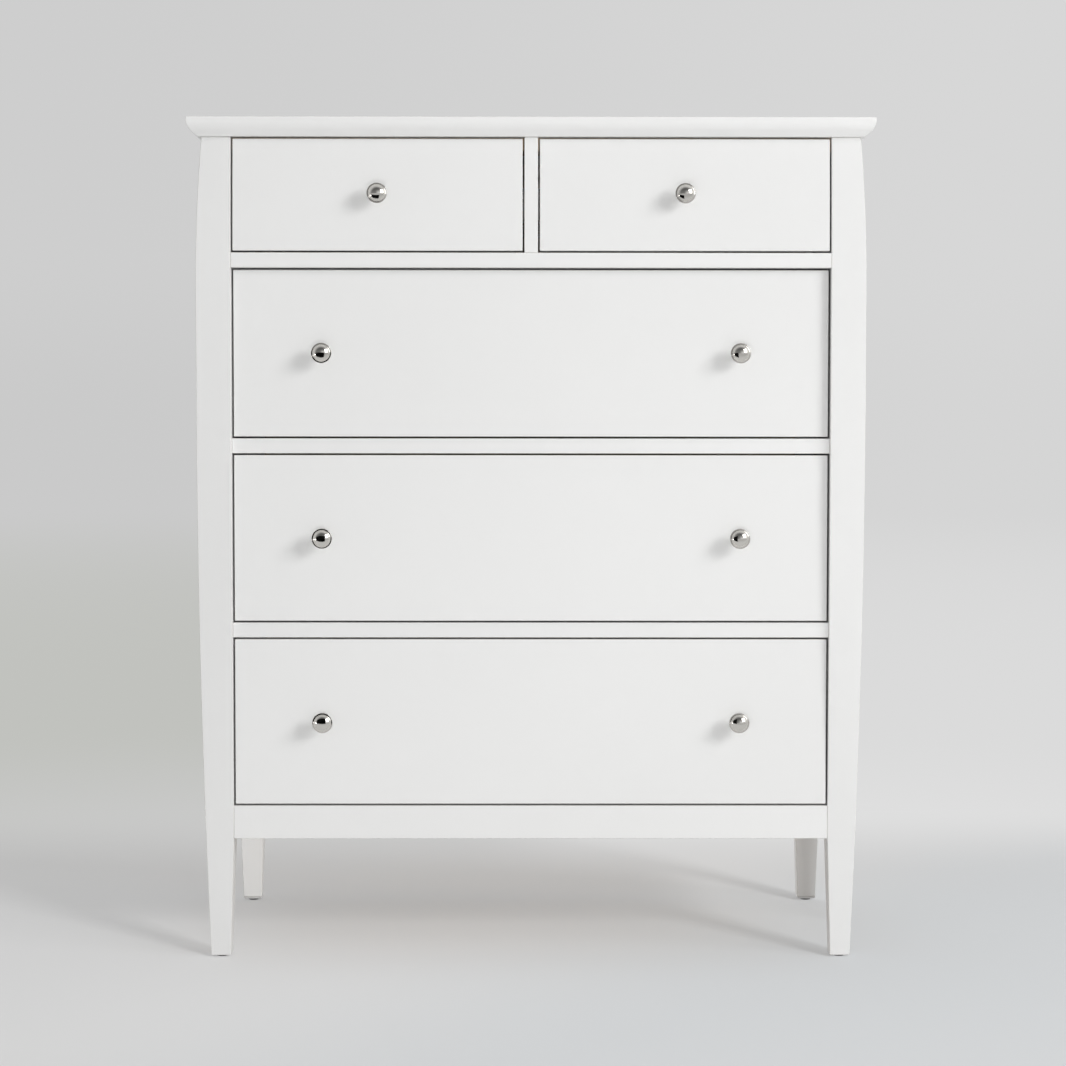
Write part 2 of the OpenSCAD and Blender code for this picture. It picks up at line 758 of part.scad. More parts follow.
module third_drawer_front() { drawer_front(third); }
module third_drawer_sides() { drawer_sides(third); }
module third_drawer_ends() { drawer_ends(third); }
module third_drawer_bottom() { drawer_bottom(third); }
module third_knobs() { knobs(third); }
module third_drawer_screws() { drawer_screws(third); }
module third_drawer_runners() { drawer_runners(third); }
module third_middle_runners() { middle_runners(third); }

module bottom_drawer_front() { drawer_front(lowest); }
module bottom_drawer_sides() { drawer_sides(lowest); }
module bottom_drawer_ends() { drawer_ends(lowest); }
module bottom_drawer_bottom() { drawer_bottom(lowest); }
module bottom_knobs() { knobs(lowest); }
module bottom_drawer_screws() { drawer_screws(lowest); }
module bottom_drawer_runners() { drawer_runners(lowest); }
module bottom_middle_runners() { middle_runners(lowest); }

top_panel();
front_left_post();
front_right_post();
rear_left_post();
rear_right_post();
left_side_panel();
right_side_panel();
back_panel();
bottom_panel();
apron();
upper_rail();
middle_rail();
lower_rail();
centre_stile();
centre_divider();
stretchers();
runner_blocks();
case_runners();
case_screws();
foot_glides();
top_left_drawer_front();
top_left_drawer_sides();
top_left_drawer_ends();
top_left_drawer_bottom();
top_left_knob();
top_left_drawer_screws();
top_left_drawer_runners();
top_left_middle_runners();
top_right_drawer_front();
top_right_drawer_sides();
top_right_drawer_ends();
top_right_drawer_bottom();
top_right_knob();
top_right_drawer_screws();
top_right_drawer_runners();
top_right_middle_runners();
second_drawer_front();
second_drawer_sides();
second_drawer_ends();
second_drawer_bottom();
second_knobs();
second_drawer_screws();
second_drawer_runners();
second_middle_runners();
third_drawer_front();
third_drawer_sides();
third_drawer_ends();
third_drawer_bottom();
third_knobs();
third_drawer_screws();
third_drawer_runners();
third_middle_runners();
bottom_drawer_front();
bottom_drawer_sides();
bottom_drawer_ends();
bottom_drawer_bottom();
bottom_knobs();
bottom_drawer_screws();
bottom_drawer_runners();
bottom_middle_runners();
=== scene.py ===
import json
import math
import bmesh
import bpy
from mathutils import Matrix, Vector

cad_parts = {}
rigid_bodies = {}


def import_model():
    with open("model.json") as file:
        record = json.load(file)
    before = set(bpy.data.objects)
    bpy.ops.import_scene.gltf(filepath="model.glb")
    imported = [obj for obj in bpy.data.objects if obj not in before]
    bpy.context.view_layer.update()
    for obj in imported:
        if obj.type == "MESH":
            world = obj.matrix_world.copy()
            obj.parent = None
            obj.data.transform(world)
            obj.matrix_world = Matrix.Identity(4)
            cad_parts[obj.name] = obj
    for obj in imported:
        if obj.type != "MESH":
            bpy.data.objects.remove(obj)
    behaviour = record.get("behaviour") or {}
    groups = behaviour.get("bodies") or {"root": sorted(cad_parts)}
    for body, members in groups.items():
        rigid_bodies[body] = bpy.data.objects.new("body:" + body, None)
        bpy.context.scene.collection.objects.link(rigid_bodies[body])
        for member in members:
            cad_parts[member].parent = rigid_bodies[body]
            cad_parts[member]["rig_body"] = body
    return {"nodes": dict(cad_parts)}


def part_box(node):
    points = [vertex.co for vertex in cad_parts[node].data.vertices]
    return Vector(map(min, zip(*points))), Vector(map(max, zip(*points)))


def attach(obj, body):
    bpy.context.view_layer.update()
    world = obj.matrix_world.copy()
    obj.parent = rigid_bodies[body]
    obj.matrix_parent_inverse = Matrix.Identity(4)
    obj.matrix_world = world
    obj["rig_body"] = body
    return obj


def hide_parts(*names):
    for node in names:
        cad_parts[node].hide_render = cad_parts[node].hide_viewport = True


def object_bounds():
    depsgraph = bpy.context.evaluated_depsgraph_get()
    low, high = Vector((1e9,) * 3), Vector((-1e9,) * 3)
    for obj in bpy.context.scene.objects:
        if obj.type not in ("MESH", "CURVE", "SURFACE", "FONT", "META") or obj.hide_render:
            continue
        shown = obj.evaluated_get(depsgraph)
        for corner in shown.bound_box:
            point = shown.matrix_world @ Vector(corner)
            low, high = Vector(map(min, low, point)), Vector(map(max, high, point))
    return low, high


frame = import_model()
cad_low, cad_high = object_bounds()


# ---- Camera ----
# A long lens stands level with the second drawer, 3.4 m in front of the chest and a little to the left of
# its middle, and looks slightly down.
lens_mm = 81.9
sensor_mm = 36.0
stand = (-0.0134, -3.6110, 0.758)
turned_right = math.radians(0.274)
tilted_down = math.radians(2.619)
rolled = math.radians(0.042)


def new_object(name, data, *materials):
    """An object at the origin, with its materials. The place of a piece of the chest is in its mesh."""
    for material in materials:
        data.materials.append(material)
    made = bpy.data.objects.new(name, data)
    bpy.context.scene.collection.objects.link(made)
    return made


camera = new_object("camera", bpy.data.cameras.new("camera"))
camera.data.lens = lens_mm
camera.data.sensor_width = sensor_mm
turn = Matrix.Rotation(-turned_right, 4, "Z")
tilt = Matrix.Rotation(math.pi / 2 - tilted_down, 4, "X")
roll = Matrix.Rotation(rolled, 4, "Z")
camera.location = stand
camera.rotation_euler = (turn @ tilt @ roll).to_euler()
bpy.context.scene.camera = camera


# ---- Studio ----
# A pale floor that runs off into a light grey backdrop, which is only seen, in an even soft light from all
# round. Softboxes stand round the chest, most of them kept to the pieces that they are meant for. Two black
# cards stand by: the knobs mirror one, and the other shades the front of a leg.
def linear(level):
    """The linear value of a grey written as 0 to 255."""
    level = level / 255.0
    return level / 12.92 if level <= 0.04045 else ((level + 0.055) / 1.055) ** 2.4


def grey(level, tint=(0, 0, 0)):
    """A pale grey with a slight tint, as a linear colour."""
    return (*[linear(level + t) for t in tint], 1.0)


def new_material(name):
    """An empty node material."""
    material = bpy.data.materials.new(name)
    material.use_nodes = True
    material.node_tree.nodes.clear()
    return material


def add_node(tree, kind, fed=None, **settings):
    """A node in a tree, with its settings. Its inputs are fed plain values or the outputs of other nodes."""
    node = tree.nodes.new(kind)
    for key, value in settings.items():
        setattr(node, key, value)
    for label, values in (fed or {}).items():
        for value in values if isinstance(values, list) else [values]:
            if isinstance(value, bpy.types.NodeSocket):
                tree.links.new(value, node.inputs[label])
            else:
                node.inputs[label].default_value = value
    return node


def add_math(tree, operation, *inputs):
    """The result of a Math node."""
    return add_node(tree, "ShaderNodeMath", dict(enumerate(inputs)), operation=operation).outputs[0]


def smooth_range(tree, value, start, end, low=0.0, high=1.0):
    """A value that runs smoothly from low to high while another goes from start to end."""
    fed = {"Value": value, "From Min": start, "From Max": end, "To Min": low, "To Max": high}
    return add_node(tree, "ShaderNodeMapRange", fed, interpolation_type="SMOOTHSTEP").outputs["Result"]


def mix_colour(tree, factor, first, second):
    """A mix of two colours."""
    fed = {"Factor": factor, 6: first, 7: second}
    return add_node(tree, "ShaderNodeMix", fed, data_type="RGBA").outputs[2]


def mix_shaders(tree, factor, first, second):
    """A mix of two shaders."""
    return add_node(tree, "ShaderNodeMixShader", {0: factor, 1: first, 2: second}).outputs[0]


def split_axes(tree, vector):
    """The X, Y and Z of a vector."""
    return add_node(tree, "ShaderNodeSeparateXYZ", {0: vector}).outputs


def object_place(tree):
    """The place on the object itself."""
    return add_node(tree, "ShaderNodeTexCoord").outputs["Object"]


def light_path(tree):
    """What kind of ray meets the surface."""
    return add_node(tree, "ShaderNodeLightPath").outputs


def end_in(tree, shader, kind="ShaderNodeOutputMaterial"):
    """Ends a material or the world in a shader."""
    add_node(tree, kind, {"Surface": shader})


def seen_directly(tree):
    """1 where the eye meets the backdrop directly, in a mirror or through glass."""
    path = light_path(tree)
    total = add_math(tree, "ADD", path["Is Camera Ray"], path["Is Glossy Ray"])
    total = add_math(tree, "ADD", total, path["Is Transmission Ray"])
    return add_math(tree, "MINIMUM", total, 1.0)


wall_left_right = grey(206), grey(215)
horizon_left_right = grey(202), grey(213)
sides_meet = -0.2, 0.2
wall_foot = 0.0, 0.07
room_left_right = grey(125), grey(228)
room_high = grey(96)
room_sides = -0.3, 0.4
room_heights = 0.0, 0.75
room_depths = -0.65, -0.1
fill_strength = 0.465

world = bpy.data.worlds.new("studio")
bpy.context.scene.world = world
bpy.context.scene.view_settings.view_transform = "Standard"
world.use_nodes = True
sky = world.node_tree
sky.nodes.clear()
direction = split_axes(sky, add_node(sky, "ShaderNodeTexCoord").outputs["Generated"])
across = smooth_range(sky, direction["X"], *sides_meet)
wall = mix_colour(sky, across, *wall_left_right)
horizon = mix_colour(sky, across, *horizon_left_right)
backdrop = mix_colour(sky, smooth_range(sky, direction["Z"], *wall_foot), horizon, wall)
room = mix_colour(sky, smooth_range(sky, direction["X"], *room_sides), *room_left_right)
room = mix_colour(sky, smooth_range(sky, direction["Z"], *room_heights), room, room_high)
in_front = smooth_range(sky, direction["Y"], *room_depths, 1.0, 0.0)
mirrored = add_math(sky, "MULTIPLY", in_front, light_path(sky)["Is Glossy Ray"])
backdrop = add_node(sky, "ShaderNodeBackground", {"Color": mix_colour(sky, mirrored, backdrop, room)})
fill = add_node(sky, "ShaderNodeBackground", {"Color": (1.0, 1.0, 1.0, 1.0), "Strength": fill_strength})
studio = mix_shaders(sky, seen_directly(sky), fill.outputs[0], backdrop.outputs[0])
end_in(sky, studio, "ShaderNodeOutputWorld")

# The floor partly glows for the eye. This glow is painted light: it lifts the chest's shadows, a little near
# the chest and wholly far from it and behind it, and it is darker to the left and lighter to the right. Under
# the glow the lit paper is darker and bluer towards the key.
floor_radius = 60.0
floor_corners = 96
floor_near = 0.5
floor_far = 2.6
floor_end = 18.0
floor_back_front = grey(217), grey(200, (-3, 1, 4))
floor_bounce = grey(192)
side_of_key = (0.82, -0.57, 0.0)
towards_key = -0.15, 0.5
floor_glow = 0.48
near_glow = grey(215)
behind_left_right = grey(203), grey(224)
behind_depths = 0.35, 1.1
far_left_right = grey(193, (0, 1, -3)), grey(219)
mirrored_near_far = grey(206), grey(185)
mirrored_edge = -0.2, 0.1
mirrored_depths = -0.6, -2.2

angles = [math.tau * i / floor_corners for i in range(floor_corners)]
floor_mesh = bpy.data.meshes.new("floor")
floor_mesh.from_pydata([(floor_radius * math.cos(a), floor_radius * math.sin(a), 0.0) for a in angles], [],
                       [range(floor_corners)])
paper = new_material("floor_paper")
floor = new_object("floor", floor_mesh, paper)
tree = paper.node_tree
place = object_place(tree)
axes = split_axes(tree, place)
length = add_node(tree, "ShaderNodeVectorMath", {0: place}, operation="LENGTH").outputs["Value"]
key_reach = add_node(tree, "ShaderNodeVectorMath", {0: place, 1: side_of_key}, operation="DOT_PRODUCT")
near_key = smooth_range(tree, key_reach.outputs["Value"], *towards_key)
seen = seen_directly(tree)
paper_colour = mix_colour(tree, near_key, *floor_back_front)
paper_colour = mix_colour(tree, seen, floor_bounce, paper_colour)
paper_look = add_node(tree, "ShaderNodeBsdfDiffuse", {"Color": paper_colour})
to_right = smooth_range(tree, add_math(tree, "DIVIDE", axes["X"], length), *sides_meet)
far_colour = mix_colour(tree, to_right, *far_left_right)
end_colour = mix_colour(tree, to_right, *horizon_left_right)
far_colour = mix_colour(tree, smooth_range(tree, length, floor_far, floor_end), far_colour, end_colour)
# Painted light: the glow that lifts the floor's shadows, lighter behind the chest and to the right.
away = smooth_range(tree, length, floor_near, floor_far)
behind = smooth_range(tree, axes["Y"], *behind_depths)
near_colour = mix_colour(tree, behind, near_glow, mix_colour(tree, to_right, *behind_left_right))
glow_colour = mix_colour(tree, away, near_colour, far_colour)
in_front = smooth_range(tree, axes["Y"], *mirrored_edge, 1.0, 0.0)
in_mirror = add_math(tree, "MULTIPLY", in_front, light_path(tree)["Is Glossy Ray"])
farther = smooth_range(tree, axes["Y"], *mirrored_depths)
mirrored_colour = mix_colour(tree, farther, *mirrored_near_far)
glow_colour = mix_colour(tree, in_mirror, glow_colour, mirrored_colour)
glow = add_node(tree, "ShaderNodeEmission", {"Color": glow_colour})
share = add_math(tree, "MAXIMUM", away, behind)
share = add_math(tree, "MULTIPLY_ADD", share, 1.0 - floor_glow, floor_glow)
share = add_math(tree, "MULTIPLY", add_math(tree, "MAXIMUM", share, in_mirror), seen)
end_in(tree, mix_shaders(tree, share, paper_look.outputs[0], glow.outputs[0]))


def softbox(name, aim, towards, distance, width, height, power, mirrored=True):
    """A soft light that stands at a distance from the point it is aimed at. Metal mirrors it, or doesn't."""
    lamp = bpy.data.lights.new(name, "AREA")
    lamp.shape = "RECTANGLE"
    lamp.size = width
    lamp.size_y = height
    lamp.energy = power
    stand = new_object(name, lamp)
    stand.location = aim + towards.normalized() * distance
    stand.rotation_euler = towards.to_track_quat("Z", "Y").to_euler()
    stand.visible_camera = False
    stand.visible_glossy = mirrored
    return stand


def lights_only(lamp, piece, wanted=True):
    """The lamp lights only the pieces that it is given, or every piece but those."""
    group = lamp.light_linking.receiver_collection
    if group is None:
        group = bpy.data.collections.new(f"{lamp.name} receivers")
        lamp.light_linking.receiver_collection = group
    group.objects.link(piece)
    if not wanted:
        for receiver in group.collection_objects:
            receiver.light_linking.link_state = "EXCLUDE"


middle = (cad_low + cad_high) / 2
key_softbox = softbox("key_softbox", middle, Vector((1.45, -1.0, 0.60)), distance=5.0, width=2.8, height=2.2,
                      power=33.0, mirrored=False)
key_glint = softbox("key_glint", middle, Vector((1.35, -1.0, 0.80)), distance=4.5, width=2.6, height=2.6,
                    power=52.0)
low_front = Vector((cad_high.x * 0.95, cad_low.y, cad_high.z * 0.3))
front_fill = softbox("front_fill", low_front, Vector((0.0, -1.0, 0.02)), distance=4.2, width=0.3, height=0.9,
                     power=40.0, mirrored=False)
front_middle = Vector((middle.x, cad_low.y, middle.z))
drawer_key = softbox("drawer_key", front_middle, Vector((1.75, -1.0, 0.87)), distance=6.2, width=2.1,
                     height=2.1, power=67.0, mirrored=False)
drawer_key.data.spread = math.radians(99.0)
drawer_fill = softbox("drawer_fill", front_middle, Vector((-0.07, -1.0, -0.14)), distance=2.0, width=0.9,
                      height=0.3, power=6.0, mirrored=False)
softbox("left_strip", middle, Vector((-1.0, -0.35, -0.16)), distance=3.2, width=0.8, height=0.5, power=5.0)
top_softbox = softbox("top_softbox", middle, Vector((-0.1, 0.5, 1.0)), distance=4.5, width=1.6, height=1.6,
                      power=66.0, mirrored=False)
lights_only(top_softbox, floor, wanted=False)
back_softbox = softbox("back_softbox", middle, Vector((-0.6, 1.0, 0.35)), distance=5.0, width=2.4, height=2.0,
                       power=70.0, mirrored=False)
lights_only(back_softbox, floor, wanted=False)
floor_lamp = softbox("floor_lamp", Vector((0.0, 0.0, 0.0)), Vector((0.60, -0.80, 0.46)), distance=9.0,
                     width=1.6, height=1.6, power=500.0)
lights_only(floor_lamp, floor)
leg_lamp = softbox("leg_lamp", Vector((cad_low.x, 0.0, 0.06)), Vector((1.0, -0.9, 0.02)), distance=4.0,
                   width=0.3, height=0.1, power=60.0, mirrored=False)


def light_drawer_front(front):
    """The key and the fill of a drawer front are its own, so that the knobs cast a firm shadow on it."""
    for lamp in (key_softbox, key_glint, front_fill):
        lights_only(lamp, front, wanted=False)
    for lamp in (drawer_key, drawer_fill):
        lights_only(lamp, front)


velvet = new_material("card_velvet")
velvet_look = add_node(velvet.node_tree, "ShaderNodeBsdfDiffuse", {"Color": grey(12)})
end_in(velvet.node_tree, velvet_look.outputs[0])


def velvet_card(name, low, high):
    """A flat upright black card between two corners. Neither the eye nor bounced light meets it."""
    mesh = bpy.data.meshes.new(name)
    mesh.from_pydata([low, (high[0], high[1], low[2]), high, (low[0], low[1], high[2])], [], [(0, 1, 2, 3)])
    card = new_object(name, mesh, velvet)
    card.visible_camera = card.visible_diffuse = card.visible_transmission = False
    return card


black_card = velvet_card("black_card", (-1.30, -0.72, 0.26), (0.06, -0.72, 0.90))
black_card.visible_shadow = False
leg_low, leg_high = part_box("rear_right_post")
flag_x = leg_high.x + 0.002
flag_reach = 0.15
leg_flag = velvet_card("leg_flag", (flag_x, leg_low.y - flag_reach, 0.0),
                       (flag_x, leg_low.y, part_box("apron")[0].z))
leg_flag.visible_glossy = False
passed_by = bpy.data.collections.new("floor_lamp blockers")
passed_by.objects.link(leg_flag)
passed_by.collection_objects[0].light_linking.link_state = "EXCLUDE"
floor_lamp.light_linking.blocker_collection = passed_by


# ---- Top panel ----
# A 26 mm lacquered panel. An upright band runs round its front and sides, over a round that falls into a
# slope, and the back edge is sawn straight. It is screwed up from inside the case.
band_height = 0.0045
round_radius = 0.020
round_end = math.radians(45.0)
round_steps = 14
panel_ease = 0.0008
sharp_turn = math.radians(25.0)
white = grey(243, (0, 0, -1))
other_sockets = {"Colour": "Color", "Light": "Color", "Dark": "Color", "Turn": "Vector",
                 "Geometry": "Geometry", "Material": "Material"}


def node_group(name, kind, inputs, outputs):
    """A node group with named inputs and outputs, and what it is given. Most of them are numbers."""
    group = bpy.data.node_groups.new(name, kind)
    for way, labels in (("INPUT", inputs), ("OUTPUT", outputs)):
        for label in labels:
            socket = f"NodeSocket{other_sockets.get(label, 'Float')}"
            group.interface.new_socket(label, in_out=way, socket_type=socket)
    return group, add_node(group, "NodeGroupInput").outputs


def film_group(name, *labels):
    """A node group that ends in the look of a surface."""
    return node_group(name, "ShaderNodeTree", labels, ("Colour", "Roughness", "Height"))


def noise(tree, place, scale, detail=2.0, distortion=0.0):
    """Cloudy noise over the places."""
    fed = {"Vector": place, "Scale": scale, "Detail": detail, "Distortion": distortion}
    return add_node(tree, "ShaderNodeTexNoise", fed).outputs["Fac"]


def dimmed(tree, colour, share):
    """A colour less a share of itself."""
    kept = add_math(tree, "SUBTRACT", 1.0, share)
    return add_node(tree, "ShaderNodeVectorMath", {0: colour, "Scale": kept}, operation="SCALE").outputs[0]


def finish_surface(tree, look, bump_strength, bump_height, metallic=0.0):
    """Ends a material in a surface with a look: its colour, roughness and height."""
    fed = {"Height": look["Height"], "Strength": bump_strength, "Distance": bump_height}
    bump = add_node(tree, "ShaderNodeBump", fed)
    fed = {"Base Color": look["Colour"], "Roughness": look["Roughness"], "Normal": bump.outputs["Normal"],
           "Metallic": metallic}
    end_in(tree, add_node(tree, "ShaderNodeBsdfPrincipled", fed).outputs[0])


def film_material(name, film, bump_strength, bump_height, metallic=0.0, **fed):
    """A material with the look that a node group gives it."""
    material = new_material(name)
    look = add_node(material.node_tree, "ShaderNodeGroup", fed, node_tree=film).outputs
    finish_surface(material.node_tree, look, bump_strength, bump_height, metallic)
    return material


def lacquer_film_group():
    """Sprayed lacquer: faint clouding of the colour, uneven gloss, and the fine ripple of spraying."""
    group, given = film_group("lacquer film", "Colour", "Clouding", "Gloss", "Ripple")
    place = object_place(group)
    clouds = smooth_range(group, noise(group, place, scale=2.3, detail=3.0), 0.35, 0.65)
    clouds = add_math(group, "MULTIPLY", clouds, given["Clouding"])
    sheen = smooth_range(group, noise(group, place, scale=38.0), 0.3, 0.7, -0.04, 0.04)
    ripple = noise(group, place, scale=420.0, detail=1.0)
    add_node(group, "NodeGroupOutput", {
        "Colour": dimmed(group, given["Colour"], clouds),
        "Roughness": add_math(group, "ADD", given["Gloss"], sheen),
        "Height": add_math(group, "MULTIPLY", ripple, given["Ripple"])})
    return group


lacquer_film = lacquer_film_group()


def lacquer(name, colour, clouding, gloss, ripple):
    """Satin white lacquer on wood or board."""
    return film_material(name, lacquer_film, bump_strength=0.5, bump_height=0.00003, Colour=colour,
                         Clouding=clouding, Gloss=gloss, Ripple=ripple)


front_lacquer = lacquer("lacquer_fronts", white, clouding=0.012, gloss=0.36, ripple=0.8)
post_lacquer = lacquer("lacquer_posts", grey(239, (0, 0, -1)), clouding=0.018, gloss=0.40, ripple=1.0)
eased_lacquer = lacquer("lacquer_eased_edges", grey(238, (0, -1, -3)), clouding=0.03, gloss=0.46, ripple=0.4)


def open_mesh(mesh):
    """A mesh opened for shaping."""
    shape = bmesh.new()
    shape.from_mesh(mesh)
    return shape


def close_mesh(shape, mesh, outward=False):
    """Writes what was shaped into a mesh, with every face turned outward if asked."""
    if outward:
        bmesh.ops.recalc_face_normals(shape, faces=shape.faces)
    shape.to_mesh(mesh)
    shape.free()
    return mesh


def add_bar(shape, rings):
    """Adds a closed bar through rings of points. The rings follow each other towards the eye that sees them
    run anticlockwise."""
    for near, far in zip(rings, rings[1:]):
        for i in range(len(near)):
            following = (i + 1) % len(near)
            shape.faces.new((near[i], near[following], far[following], far[i]))
    shape.faces.new(reversed(rings[0]))
    shape.faces.new(rings[-1])


def ease_edges(piece, width, shortest=0.006, edge_material=1):
    """Rounds the long sharp edges of a wooden piece, as sanding does, and gives them one of its materials."""
    shape = open_mesh(piece.data)
    weight = shape.edges.layers.float.new("bevel_weight_edge")
    for edge in shape.edges:
        sharp = edge.is_manifold and edge.calc_face_angle() > sharp_turn
        eased = sharp and edge.calc_length() > shortest
        edge[weight] = 1.0 if eased else 0.0
        edge.smooth = eased or not sharp
    for face in shape.faces:
        face.smooth = True
    close_mesh(shape, piece.data)
    bevel = piece.modifiers.new("eased edges", "BEVEL")
    bevel.limit_method = "WEIGHT"
    bevel.width = width
    bevel.segments = 3
    bevel.use_clamp_overlap = False
    bevel.material = edge_material
    normals = piece.modifiers.new("flat faces", "WEIGHTED_NORMAL")
    normals.keep_sharp = True


def stand_for(piece, node):
    """The piece takes the place of a CAD node and rides on that node's body."""
    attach(piece, frame["nodes"][node]["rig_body"])
    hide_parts(node)


def moulded_panel(name, low, high):
    """The top panel: a ring of its outline at each height of the moulding."""
    band_foot = high.z - band_height
    profile = [(0.0, high.z), (0.0, band_foot)]
    for step in range(1, round_steps + 1):
        angle = round_end * step / round_steps
        profile.append((round_radius * (1 - math.cos(angle)), band_foot - round_radius * math.sin(angle)))
    inset, height = profile[-1]
    profile.append((inset + (height - low.z) * math.tan(round_end), low.z))
    shape = bmesh.new()
    rings = []
    for inset, height in reversed(profile):
        corners = ((low.x + inset, high.y), (low.x + inset, low.y + inset),
                   (high.x - inset, low.y + inset), (high.x - inset, high.y))
        rings.append([shape.verts.new((x, y, height)) for x, y in corners])
    add_bar(shape, rings)
    return close_mesh(shape, bpy.data.meshes.new(name), outward=True)


top_name = "top_panel_moulded"
top = new_object(top_name, moulded_panel(top_name, *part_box("top_panel")), front_lacquer, eased_lacquer)
ease_edges(top, panel_ease, shortest=0.001)
stand_for(top, "top_panel")


# ---- Bowed timber: posts, upper rail, stile and small drawer fronts ----
# Solid wood shaped on its outer faces: they draw in on a quick curve towards the top and on a slow one
# towards the floor. Below the apron the inner faces of the legs taper too.
bow = {"Upper radius": 2.600, "Upper start": 0.950, "Lower radius": 20.800, "Lower start": 0.800}
taper_start = 0.180
foot_width = 0.028
foot_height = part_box("front_left_post")[0].z
level_step = 0.012
post_ease = 0.0012
front_ease = 0.0010


def new_geometry_tree(name, labels):
    """A geometry tree with a named input for each size, and what it is given."""
    return node_group(name, "GeometryNodeTree", ("Geometry", *labels, "Material"), ("Geometry",))


def geometry(tree, kind, fed, **settings):
    """What a geometry node makes."""
    return add_node(tree, f"GeometryNode{kind}", fed, **settings).outputs[0]


def vector(tree, x=0.0, y=0.0, z=0.0):
    """A vector from its X, Y and Z."""
    return add_node(tree, "ShaderNodeCombineXYZ", {"X": x, "Y": y, "Z": z}).outputs[0]


def own_value(tree, label, kind):
    """The number or vector that belongs to each point under a name."""
    return geometry(tree, "InputNamedAttribute", {"Name": label}, data_type=kind)


def finish_geometry_tree(tree, given, made):
    """Ends a geometry tree in real meshes that carry their material."""
    made = geometry(tree, "RealizeInstances", {"Geometry": made})
    made = geometry(tree, "SetMaterial", {"Geometry": made, "Material": given["Material"]})
    add_node(tree, "NodeGroupOutput", {0: made})
    return tree


def keep_modified(piece, modifier):
    """Leaves what a modifier makes of a piece as its plain mesh."""
    graph = bpy.context.evaluated_depsgraph_get()
    made = bpy.data.meshes.new_from_object(piece.evaluated_get(graph))
    piece.modifiers.remove(modifier)
    piece.data = made
    return piece


def run_geometry_tree(piece, tree, sizes, material):
    """Runs a geometry tree on a piece and leaves the result as its plain mesh."""
    modifier = piece.modifiers.new(tree.name, "NODES")
    modifier.node_group = tree
    values = {**sizes, "Material": material}
    for item in tree.interface.items_tree:
        if item.in_out == "INPUT" and item.name in values:
            modifier[item.identifier] = values[item.name]
    return keep_modified(piece, modifier)


def bow_tree():
    """Slides each point in by the bow at its height, and by the taper below the apron."""
    tree, given = new_geometry_tree("bowed timber", [*bow, "Taper start", "Foot height"])
    height = split_axes(tree, geometry(tree, "InputPosition", {}))["Z"]

    def drawn_in(run, radius):
        """How far an arc has drawn in after a run along its tangent."""
        run = add_math(tree, "MAXIMUM", run, 0.0)
        squared = add_math(tree, "MULTIPLY", run, run)
        rest = add_math(tree, "SUBTRACT", add_math(tree, "MULTIPLY", radius, radius), squared)
        return add_math(tree, "DIVIDE", squared, add_math(tree, "ADD", radius, add_math(tree, "SQRT", rest)))

    upper = drawn_in(add_math(tree, "SUBTRACT", height, given["Upper start"]), given["Upper radius"])
    lower = drawn_in(add_math(tree, "SUBTRACT", given["Lower start"], height), given["Lower radius"])
    below = add_math(tree, "SUBTRACT", given["Taper start"], height)
    whole = add_math(tree, "SUBTRACT", given["Taper start"], given["Foot height"])
    tapered = add_math(tree, "MAXIMUM", add_math(tree, "DIVIDE", below, whole), 0.0)
    shares = {"bow": add_math(tree, "ADD", upper, lower), "taper": add_math(tree, "MINIMUM", tapered, 1.0)}
    moves = []
    for label, share in shares.items():
        fed = {0: own_value(tree, label, "FLOAT_VECTOR"), "Scale": share}
        moves.append(add_node(tree, "ShaderNodeVectorMath", fed, operation="SCALE").outputs[0])
    total = add_node(tree, "ShaderNodeVectorMath", {0: moves[0], 1: moves[1]}, operation="ADD").outputs[0]
    moved = geometry(tree, "SetPosition", {"Geometry": given["Geometry"], "Offset": total})
    return finish_geometry_tree(tree, given, moved)


bowed_timber_tree = bow_tree()


def sawn_timber(name, low, high, moves):
    """A straight length of timber with a ring of points every few millimetres, and each corner's moves."""
    count = max(2, round((high.z - low.z) / level_step))
    corners = ((low.x, low.y), (high.x, low.y), (high.x, high.y), (low.x, high.y))
    heights = [low.z + (high.z - low.z) * level / count for level in range(count + 1)]
    shape = bmesh.new()
    add_bar(shape, [[shape.verts.new((x, y, height)) for x, y in corners] for height in heights])
    mesh = close_mesh(shape, bpy.data.meshes.new(name))
    for label, corner_moves in moves.items():
        attribute = mesh.attributes.new(label, "FLOAT_VECTOR", "POINT")
        for point in range(len(mesh.vertices)):
            attribute.data[point].vector = (*corner_moves[point % 4], 0.0)
    return mesh


def bow_at(height):
    """How far the outer faces have drawn in at a height."""
    above = max(height - bow["Upper start"], 0.0)
    below = max(bow["Lower start"] - height, 0.0)
    upper = bow["Upper radius"] - math.sqrt(bow["Upper radius"] ** 2 - above ** 2)
    return upper + bow["Lower radius"] - math.sqrt(bow["Lower radius"] ** 2 - below ** 2)


def bowed_timber(node, low, high, moves, material, ease):
    """Shapes a length of timber with the bow and puts it in place of a CAD node."""
    name = f"{node}_bowed"
    piece = new_object(name, sawn_timber(name, low, high, moves), material, eased_lacquer)
    sizes = {**bow, "Taper start": taper_start, "Foot height": foot_height}
    run_geometry_tree(piece, bowed_timber_tree, sizes, material)
    piece.data.name = name
    piece.data.materials.clear()
    for coat in (material, eased_lacquer):
        piece.data.materials.append(coat)
    ease_edges(piece, ease, shortest=0.0)
    stand_for(piece, node)
    return piece


